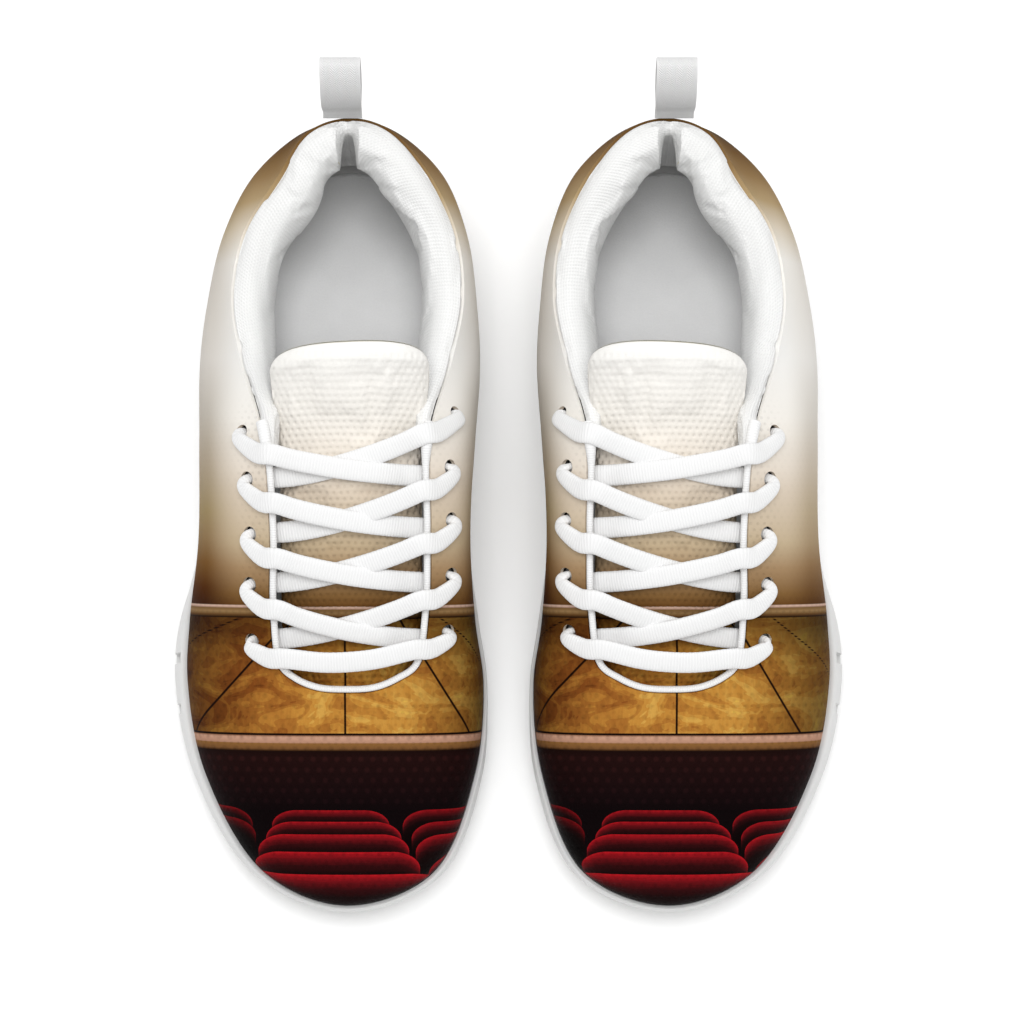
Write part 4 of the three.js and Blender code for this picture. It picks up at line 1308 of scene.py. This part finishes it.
WALL = (  # y, mm, and the wall's colour there, along the middle of the shoe
    (-36, "5c3a18"), (-32, "7a5a34"), (-24, "9d8160"), (-16, "bba88b"), (0, "d0c2b0"), (8, "dcd2c5"),
    (24, "e8e4dd"), (46, "ecebe8"), (78, "ebe8e2"), (89, "d2c6b3"), (98, "aa936e"), (107, "8a6f4a"),
    (116, "6c4f2b"), (127, "3c2710"),
)
WALL_SIDE_PAINTED_SHADE = (  # and along its sides: the print's colours darkened by painted shade, as the steep side walls get less light
    (-36, "33180a"), (-30, "4a2605"), (-22, "704e26"), (-14, "8b7250"), (-6, "97845f"), (10, "aa9c88"),
    (26, "bab3a8"), (46, "cdc8c1"), (78, "c9c3ba"), (89, "b3a48a"), (98, "937b55"), (107, "775c38"),
    (116, "5a3f20"), (127, "33200e"),
)
PLANK = (  # tone of the grain and its colour
    (0.0, "4c2409"), (0.25, "7c4519"), (0.45, "9c6528"), (0.6, "b27c33"), (0.75, "c39546"), (1.0, "d6b04a"),
)
ROWS = (  # middle and half width, top edge, depth, brightness: the farthest row first
    (-52, 22, -100.4, 3.6, 0.45), (-52, 23, -104.0, 5, 0.4), (39.4, 20, -101.1, 4, 0.8),
    (42.8, 20.5, -105.1, 4.4, 0.85), (46.0, 22.4, -109.3, 6, 0.95), (50.2, 22, -117.0, 7, 1.0),
    (-4.2, 19.2, -101.1, 3.7, 0.9), (-3.3, 22.2, -104.8, 4.2, 0.95), (-3.4, 24.8, -108.9, 5.6, 1.0),
    (-2.7, 27.6, -114.6, 7.2, 1.05), (-1.0, 31.5, -121.9, 8, 1.1),
)
SEAMS = ((0.8, -60.0, 0.0), (-29.3, -53.2, 0.949), (26.5, -52.2, -0.625))  # a place on it, then its slant
DOTTED = ((-38.1, -41.6, 2.466), (38.2, -44.5, -1.31))


def plank_colour(f, x, y):
    """A plank floor seen at a slant: swirling grain, painted shade darkening it toward the shoe's sloping
    sides, with seams between boards.
    """
    swirl = f.noise(f.joined(x * 0.05, y * 0.085), 1.0, 3.0, 0.55, 1.2)
    contour = ((swirl * 11).floor() / 11 - 0.22) * 1.75
    fine = f.noise(f.joined(x * 0.45, y * 0.12), 1.0, 4.0, 0.6, 0.6)
    right = x.ramp(-40, 14) * 0.28
    tone = contour * 0.64 + fine * 0.32 + right - 0.08
    base = f.stops(tone, PLANK)
    # painted shade: the planks darken where the vamp slopes away at the sides
    sides = 1 - abs(x + 2).ramp(18, 55) * 0.72
    start = 1 - y.ramp(-57, -40) * 0.6
    base = f.shaded(base, sides * start)
    line = None
    for px, py, slant in SEAMS:
        away = abs(x - px - (y - py) * slant) / math.hypot(1, slant)
        near = 1 - away.ramp(0.2, 0.5)
        line = near if line is None else line.at_least(near)
    for px, py, slant in DOTTED:
        away = abs(x - px - (y - py) * slant) / math.hypot(1, slant)
        gaps = ((y * 1.1).frac() > 0.45) * (1 - away.ramp(0.15, 0.4))
        line = line.at_least(gaps)
    return f.mix(line, base, colour("160602"))


def row_colour(f, x, y, below):
    """Rows of rounded bars, one before the other, each lit along its top edge."""
    base = below
    for middle, half, top, depth, bright in ROWS:
        corner = min(half * 0.42, 9.0)
        beyond = ((abs(x - middle) - (half - corner)) / corner).at_least(0.0).at_most(1.0)
        drop = (1 - (1 - beyond * beyond) ** 0.5) * corner * 0.62
        down = (top - y) - drop
        inside = (down > 0) * (abs(x - middle) < half) * (down < depth * 3.2)
        streak = f.noise(f.joined(x * 0.12, y * 1.9), 1.0, 2.0)
        share = down / depth
        lit = f.stops(share + (streak - 0.5) * 0.2, ((0.0, "a51219"), (0.09, "880e16"), (0.3, "5c0a10"),
                                                     (0.6, "2c0608"), (0.95, "120303"), (1.6, "080101")))
        base = f.mix(inside, base, f.shaded(lit, bright))
    return base


def print_colour(f, x, y):
    """Cream fading to tan, a moulding, a plank floor with its lip, a dark band and rows of red bars."""
    wall = f.stops(y, WALL)
    # painted shade: toward the steep side walls the print takes the darker side colours, mixed in by shade
    side = f.stops(y, WALL_SIDE_PAINTED_SHADE)
    shade = (x * -1).ramp(31, 47).at_least(x.ramp(35, 47) * 0.55)
    base = f.mix(shade, wall, side)
    moulding = f.stops(y, ((-39.4, "1c0c04"), (-38.6, "5d4022"), (-37.6, "8a6d48"), (-36.6, "6e5232"),
                           (-36.0, "c4a394"), (-35.5, "b39a86")))
    below = lambda edge: 1 - y.ramp(edge - 0.15, edge + 0.15)
    base = f.mix(below(-35.6), base, moulding)
    base = f.mix(below(-39.6), base, plank_colour(f, x, y))
    lip = f.stops(y, ((-81.8, "3c2410"), (-81.2, "6e4a2a"), (-79.6, "80592f"), (-79.3, "a67c66"),
                      (-77.6, "b98f78"), (-77.1, "8a6149"), (-76.9, "120503"), (-76.2, "120503")))
    base = f.mix(below(-76.3), base, lip)
    pit = f.stops(y, ((-101, "080203"), (-96, "100405"), (-84, "1c0908"), (-81.8, "140604")))
    base = f.mix(below(-81.9), base, pit)
    return row_colour(f, x, y, base)


def printed_finish():
    """Printed mesh fabric: round hollows where it is open, fine threads everywhere; the hollows are darkened
    with painted shade, and in the dark band the larger ones get painted highlights.
    """
    f = Finish("printed_mesh", roughness=0.85, specular=0.04)
    x, y, _ = f.cloth()
    hollow = lattice(x, y, DIMPLE_PITCH)
    open_mesh = y.ramp(36, 18)
    patchy = f.noise(f.joined(x * 0.035, y * 0.035), 1.0, 2.0).ramp(0.32, 0.62)
    fine = weave(x + y, x - y, 0.7)
    depth = hollow * open_mesh * (1 - abs(x).ramp(27, 36) * y.ramp(-40, -30) * 0.85)
    large_hollows_shade_and_highlight = lattice(x, y, DIMPLE_PITCH * 1.7) * (1 - y.ramp(-50, -38))
    dark_band = (y > -101) * (y < -82)
    # painted shade in the small and large hollows, painted highlights on the large hollows in the dark band
    shade = 1.04 - depth * (patchy * 0.1 + 0.04) - fine * 0.03 - large_hollows_shade_and_highlight * 0.16 + dark_band * large_hollows_shade_and_highlight * 0.9
    base = f.shaded(print_colour(f, x, y), shade)
    height = fine * 0.25 - depth * 0.45
    worn = f.noise(f.joined(x, y), 0.08, 3.0) * 0.16 + 0.7
    return f.finish(base, height, 0.22, worn)


def knit_finish():
    """Fine knit: courses across the roll and wales along it, with painted shade where it runs down inside
    the shoe.
    """
    f = Finish("collar_knit", roughness=0.86, sheen=0.12, specular=0.2)
    along, across, _ = f.cloth()
    wander = f.noise(f.joined(along, across), 0.05, 2.0) * 3
    course = ((along + wander) * (2 * math.pi / 1.15)).sin() * 0.5 + 0.5
    wale = (across * (2 * math.pi / 0.9) + course * 1.5).sin() * 0.5 + 0.5
    cloudy = f.noise(f.joined(along, across), 0.09, 3.0)
    # painted shade: the knit darkens down the inside wall of the shoe
    lower = across.ramp(20, 34) * 0.1
    base = f.shaded(colour("e9e9e8"), 1.02 - course * wale * 0.07 - cloudy * 0.05 - lower)
    return f.finish(base, course * 0.6 + wale * 0.4, 0.16)


def plain_cloth(name, code, pitch, depth, contrast, roughness=0.85, sheen=0.05):
    """A plain woven or felted cloth."""
    f = Finish(name, roughness=roughness, sheen=sheen, specular=0.2)
    x, y, _ = f.cloth()
    threads = weave(x, y, pitch)
    cloudy = f.noise(f.joined(x, y), 0.15, 4.0)
    fuzz = f.noise(f.joined(x, y), 2.4, 2.0)
    base = f.shaded(colour(code), 1.04 - threads * contrast - cloudy * contrast - fuzz * contrast * 0.6)
    return f.finish(base, threads * 0.6 + fuzz * 0.4, depth)


def sock_finish():
    f = Finish("sockliner_felt", roughness=0.92, sheen=0.05, specular=0.12)
    x, y, _ = f.cloth()
    fuzz = f.noise(f.joined(x, y), 1.6, 4.0, 0.6)
    cloudy = f.noise(f.joined(x, y), 0.06, 3.0)
    # painted shadow: the felt darkens toward the heel cup
    heel = y.ramp(66, 112) * 0.25
    base = f.shaded(colour("dedede"), 1.05 - fuzz * 0.10 - cloudy * 0.10 - heel)
    return f.finish(base, fuzz, 0.12)


def lace_finish():
    """A flat tubular lace: fine ribs across it and a slight twill."""
    f = Finish("lace_cotton", roughness=0.8, sheen=0.1, specular=0.25)
    along, across, _ = f.cloth()
    rib = (along * (2 * math.pi / 0.95)).sin() * 0.5 + 0.5
    twill = ((along + across * 0.6) * (2 * math.pi / 0.55)).sin() * 0.5 + 0.5
    soil = f.noise(f.joined(along, across), 0.05, 3.0)
    base = f.shaded(colour("eaeaea"), 1.03 - (1 - rib) * 0.06 - twill * 0.03 - soil * 0.04)
    return f.finish(base, rib * 0.75 + twill * 0.25, 0.1)


def webbing_finish():
    """Herringbone webbing with firm edges, and painted shade on the lower part of the loop."""
    f = Finish("webbing", roughness=0.75, sheen=0.08, specular=0.3)
    along, across, _ = f.cloth()
    zigzag = along + abs((across / 3.2).frac() - 0.5) * 3.2
    twill = (zigzag * (2 * math.pi / 0.85)).sin() * 0.5 + 0.5
    edge = abs(across).ramp(5.6, 6.3)
    # painted shade: the lower part of the loop's front face is greyer
    foot = along.ramp(44, 58) * 0.16
    base = f.shaded(colour("e0e0e0"), 1.02 - twill * 0.08 - edge * 0.06 - foot)
    return f.finish(base, twill * (1 - edge) + edge * 0.7, 0.15)


def piping_finish():
    f = Finish("piping_tape", roughness=0.75, sheen=0.08, specular=0.3)
    along, _, _ = f.cloth()
    rib = (along * (2 * math.pi / 0.8)).sin() * 0.5 + 0.5
    base = f.shaded(colour("e9e9e9"), 1.02 - rib * 0.06)
    return f.finish(base, rib, 0.08)


def moulded(name, code, roughness, depth=0.05, grain=1.5, streaks=0.03):
    """A moulded or cut solid: fine pebbling, slight soiling, dull patches."""
    f = Finish(name, roughness=roughness, specular=0.35)
    place = f.object_place()
    pebble = f.noise(place, grain, 3.0, 0.6)
    cloudy = f.noise(place, 0.05, 3.0)
    base = f.shaded(colour(code), 1.03 - pebble * streaks - cloudy * streaks * 1.5)
    return f.finish(base, pebble, depth, cloudy * 0.2 + (roughness - 0.1))


FINISHES = {
    "print": printed_finish(),
    "knit": knit_finish(),
    "lining": plain_cloth("lining_cloth", "d4d4d2", 0.9, 0.1, 0.05),
    "foam": moulded("padding_foam", "e9e2c8", 0.95, 0.3, 2.2, 0.08),
    "webbing": webbing_finish(),
    "piping": piping_finish(),
    "lace": lace_finish(),
    "board": moulded("fibre_board", "b9a581", 0.85, 0.08, 3.0, 0.1),
    "stay": moulded("stiffener_sheet", "2b2723", 0.7, 0.05, 1.2, 0.06),
    "sock": sock_finish(),
    "sole_foam": moulded("sole_foam", "dededd", 0.6, 0.06, 1.1, 0.03),
    "rubber": moulded("tread_rubber", "dadad6", 0.7, 0.06, 1.6, 0.06),
    "aglet": moulded("aglet_sleeve", "f4f4f4", 0.3, 0.02, 0.8, 0.02),
    "white_thread": moulded("white_thread", "ededec", 0.8, 0.05, 6.0, 0.05),
}


# ---- cloth ----
COLLAR_PRESSURE = 2.6
COLLAR_HELD = 17  # the rows of the coarse collar from here on are sewn down
TONGUE_PRESSURE = 2.4
PUFF_CAP = 0.6  # no point of a padded cloth moves farther than this, mm
CLOTH_SHRINK = -0.03
CLOTH_FRAMES = 20


def settled(face, pinned, pressure):
    """How far each point of a padded cloth is pushed by its filling, mm, by a cloth simulation. The cloth
    is held where pinned."""
    n, m = face.shape[:2]
    j, k = np.meshgrid(np.arange(n - 1), np.arange(m - 1), indexing="ij")
    quads = np.stack([j * m + k, (j + 1) * m + k, (j + 1) * m + k + 1, j * m + k + 1], -1).reshape(-1, 4)
    mesh = bpy.data.meshes.new("cloth")
    mesh.from_pydata([tuple(p) for p in face.reshape(-1, 3) * MM], [], quads.tolist())
    sheet = bpy.data.objects.new("cloth", mesh)
    bpy.context.scene.collection.objects.link(sheet)
    group = sheet.vertex_groups.new(name="sewn")
    group.add([int(v) for v in np.flatnonzero(pinned.ravel())], 1.0, "REPLACE")
    modifier = sheet.modifiers.new("cloth", "CLOTH")
    settings = modifier.settings
    settings.vertex_group_mass = "sewn"
    settings.quality = 5
    settings.mass = 0.25
    settings.tension_stiffness = settings.compression_stiffness = 20
    settings.shear_stiffness = 12
    settings.bending_stiffness = 0.8
    settings.shrink_min = CLOTH_SHRINK
    settings.use_pressure = True
    settings.uniform_pressure_force = pressure
    settings.effector_weights.gravity = 0
    for frame_number in range(1, CLOTH_FRAMES + 1):
        bpy.context.scene.frame_set(frame_number)
    done = np.empty(n * m * 3, np.float32)
    baked_mesh = baked(sheet)
    baked_mesh.vertices.foreach_get("co", done)
    bpy.data.objects.remove(sheet)
    bpy.context.scene.frame_set(1)
    moved = done.reshape(n, m, 3).astype(float) / MM - face
    far = np.linalg.norm(moved, axis=-1, keepdims=True)
    moved *= PUFF_CAP / np.maximum(far, PUFF_CAP)
    return moved


def enlarged(moved, n, m):
    """A coarse grid of shifts on a finer grid, smoothly."""
    a = np.linspace(0, moved.shape[0] - 1, n)
    b = np.linspace(0, moved.shape[1] - 1, m)
    first = spread(moved, a)
    return spread(first.transpose(1, 0, 2), b).transpose(1, 0, 2)


def spread(values, t):
    """Values along the first index read at places t between them, smoothly."""
    k = np.clip(np.floor(t).astype(int), 0, len(values) - 2)
    f = smooth(t - k)[:, None, None]
    return values[k] * (1 - f) + values[k + 1] * f


# ---- the pieces of each shoe ----
LACE_KNOTS = lace_knots()
STITCHES = stitch_tree()
TREAD = tread_tree()


def collar_face(side):
    """The collar's face, puffed out by its foam."""
    face = collar_grid(side)
    coarse = collar_grid(side, 60, 26)
    pinned = np.zeros(coarse.shape[:2], bool)
    pinned[:, 0] = pinned[:, COLLAR_HELD:] = True
    pinned[:1] = pinned[-1:] = True
    moved = settled(coarse, pinned, COLLAR_PRESSURE if side == "lateral" else -COLLAR_PRESSURE)
    return face + enlarged(moved, *face.shape[:2])


def tongue_wave():
    """How far the tongue's face is pushed out by its foam, on the tongue's own grid."""
    face = tongue_surface(0.0)[0]
    coarse = face[::4, ::6]
    pinned = np.ones(coarse.shape[:2], bool)
    pinned[1:-1, 1:-1] = False
    pinned[::6, ::8] = True
    moved = settled(coarse, pinned, TONGUE_PRESSURE)
    return enlarged((moved * unit(grid_normals(coarse))).sum(-1, keepdims=True), *face.shape[:2])[..., 0]


COLLAR_FACES = {side: collar_face(side) for side in OTHER}
TONGUE = tongue_forms(tongue_wave())


def tab_stitches():
    x = np.linspace(-0.42, 0.42, 30) * TAB_WIDTH
    rows = []
    for v in TAB_SEWN:
        w = np.interp(v, [p[0] for p in TAB_OUTER], [p[1] for p in TAB_OUTER])
        rows.append(tab_place(np.full_like(x, v), np.full_like(x, w + 0.1), x))
    return rows


TREAD_INSET = 7.5
LUG_WIDTH, LUG_LENGTH = 6.8, 5.6
LUG_STEP, LUG_ROW_STEP = 9.2, 7.4


def tread_points():
    """Places of the lugs: rows across the sole, every other row shifted by half a step."""
    ring = sole_ring(TREAD_INSET, 0)
    points = []
    lateral, medial = ring[: len(ring) // 2], ring[len(ring) // 2 :]
    for row, y in enumerate(np.arange(-118, 112, LUG_ROW_STEP)):
        low = np.interp(-y, -lateral[:, 1], lateral[:, 0])
        high = np.interp(y, medial[:, 1], medial[:, 0])
        for x in np.arange(-60 + (row % 2) * LUG_STEP / 2, 60, LUG_STEP):
            if low < x < high:
                points.append((x, y, float(floor_at(np.array(y))) + TREAD_DEPTH * 0.5 + 0.06))
    return points


def stitches(name, lines, side, length, thick, spacing, finish, slot, body):
    points, edges = chain(lines)
    sizes = {"Spacing": spacing * MM, "Length": length * MM, "Thickness": thick * MM,
             "Material": FINISHES[finish]}
    place(name, grown(name, points, edges, STITCHES, sizes, side), FINISHES[finish], slot, body)


def build_shoe(side):
    shoe, tongue, tab = f"{side}_shoe", f"{side}_tongue", f"{side}_pull_tab"

    def piece(name, f, finish, slot, body=shoe, tools=(), nodes=None):
        mesh = mesh_of(f"{side}_{name}_form", f, side, printed=finish == "print")
        if tools:
            mesh = cut(mesh, tools)
        nodes = [f"{side}_{n}" for n in (nodes or [name])]
        return place(f"{side}_{name}_piece", mesh, FINISHES[finish], slot, body, nodes)

    piece("printed_upper", upper_form(), "print", "print", tools=eyelet_tools(side))
    piece("vamp_lining", vamp_lining_form(), "lining", "lining")
    piece("throat_piping", piping_form(), "piping", "webbing")
    for half in OTHER:
        collar = piece(f"collar_{half}", collar_form(COLLAR_FACES[half]), "knit", "knit")
        piece(f"collar_foam_{half}", collar_foam_form(half, COLLAR_FACES[half]), "foam", "foam")
    face = piece("tongue_face", TONGUE["face"], "print", "print", tongue)
    piece("tongue_foam", TONGUE["foam"], "foam", "foam", tongue)
    piece("tongue_lining", TONGUE["lining"], "lining", "lining", tongue)
    piece("lace", lace_form(LACE_KNOTS), "lace", "lace")
    for end, half in enumerate(("lateral", "medial")):
        piece(f"aglet_{half}", aglet_form(LACE_KNOTS, end), "aglet", "aglet")
    piece("pull_tab", tab_form(), "webbing", "webbing", tab)
    piece("midsole", midsole_form(), "sole_foam", "sole_foam", tools=nick_tools(side))
    piece("outsole", outsole_form(), "rubber", "rubber")
    piece("sockliner", sockliner_form(), "sock", "sock")

    stitches(f"{side}_tab_stitches", tab_stitches(), side, 1.5, 0.35, 2.0, "white_thread", "webbing", tab)
    lugs = {"Width": LUG_WIDTH * MM, "Length": LUG_LENGTH * MM, "Depth": (TREAD_DEPTH - 0.08) * MM}
    lugs["Material"] = FINISHES["rubber"]
    mesh = grown(f"{side}_tread", tread_points(), [], TREAD, lugs, side)
    place(f"{side}_tread_lugs", mesh, FINISHES["rubber"], "rubber", shoe)


for shoe_side in ("right", "left"):
    build_shoe(shoe_side)

# every node that came with the frame gets its finish too: some stay, such as boards and stiffeners
for subpart in frame["record"]["subparts"]:
    node = frame["nodes"][subpart["node"]]
    node.data.materials.clear()
    node.data.materials.append(FINISHES[subpart["material_slot"]])


# ---- stage, light and camera, m ----
FLOOR_REACH = 30.0
FLOOR_DROP = 0.0005  # the floor lies this far under the soles
WORLD_LIGHT = 0.5
LIGHTS = (  # name, place, size, power in watts
    ("top", (0.0, 0.12, 2.1), 1.1, 24.0),
    ("key", (-0.6, 0.7, 1.5), 1.4, 5.0),
    ("fill", (0.9, 0.2, 1.3), 1.4, 2.6),
    ("front", (0.1, -1.2, 1.1), 1.2, 1.6),
)
LIT_SPOT = Vector((0, 0, 0.04))
CAMERA_TILT = math.radians(6)  # from straight down, toward the toes
CAMERA_AWAY = 1.5
CAMERA_TARGET = Vector((0, -0.0013, 0.035))
CAMERA_LENS = 158.7  # mm, on a 36 mm sensor
CAMERA_SENSOR = 36
CAMERA_SHIFT = (0.00342, -0.00449)  # shares of the view's width


def stage_floor():
    corners = [(x * FLOOR_REACH, y * FLOOR_REACH, 0) for x, y in ((-1, -1), (1, -1), (1, 1), (-1, 1))]
    floor_mesh = bpy.data.meshes.new("floor")
    floor_mesh.from_pydata(corners, [], [(0, 1, 2, 3)])
    floor = bpy.data.objects.new("floor", floor_mesh)
    floor.location.z = -FLOOR_DROP
    bpy.context.scene.collection.objects.link(floor)
    paper = Finish("floor_paper", roughness=0.95, specular=0.0)
    floor_mesh.materials.append(paper.finish(colour("ffffff")))


def stage_lights():
    bpy.context.scene.view_settings.view_transform = "Standard"
    world = bpy.data.worlds.new("studio")
    bpy.context.scene.world = world
    world.use_nodes = True
    background = world.node_tree.nodes["Background"]
    background.inputs["Color"].default_value = (1, 1, 1, 1)
    background.inputs["Strength"].default_value = WORLD_LIGHT
    for name, place_at, size, power in LIGHTS:
        light = bpy.data.lights.new(name, "AREA")
        light.shape = "DISK"
        light.size = size
        light.energy = power
        lamp = bpy.data.objects.new(name, light)
        lamp.location = place_at
        aim = LIT_SPOT - lamp.location
        lamp.rotation_euler = aim.to_track_quat("-Z", "Y").to_euler()
        bpy.context.scene.collection.objects.link(lamp)


def stage_camera():
    camera_data = bpy.data.cameras.new("camera")
    camera_data.lens = CAMERA_LENS
    camera_data.sensor_width = CAMERA_SENSOR
    camera_data.shift_x, camera_data.shift_y = CAMERA_SHIFT
    camera_data.clip_start = 0.05
    camera_data.clip_end = 100
    camera = bpy.data.objects.new("camera", camera_data)
    toward = Vector((0, -math.sin(CAMERA_TILT), math.cos(CAMERA_TILT)))
    camera.location = CAMERA_TARGET + CAMERA_AWAY * toward
    camera.rotation_euler = (CAMERA_TILT, 0, 0)
    bpy.context.scene.collection.objects.link(camera)
    bpy.context.scene.camera = camera


stage_floor()
stage_lights()
stage_camera()
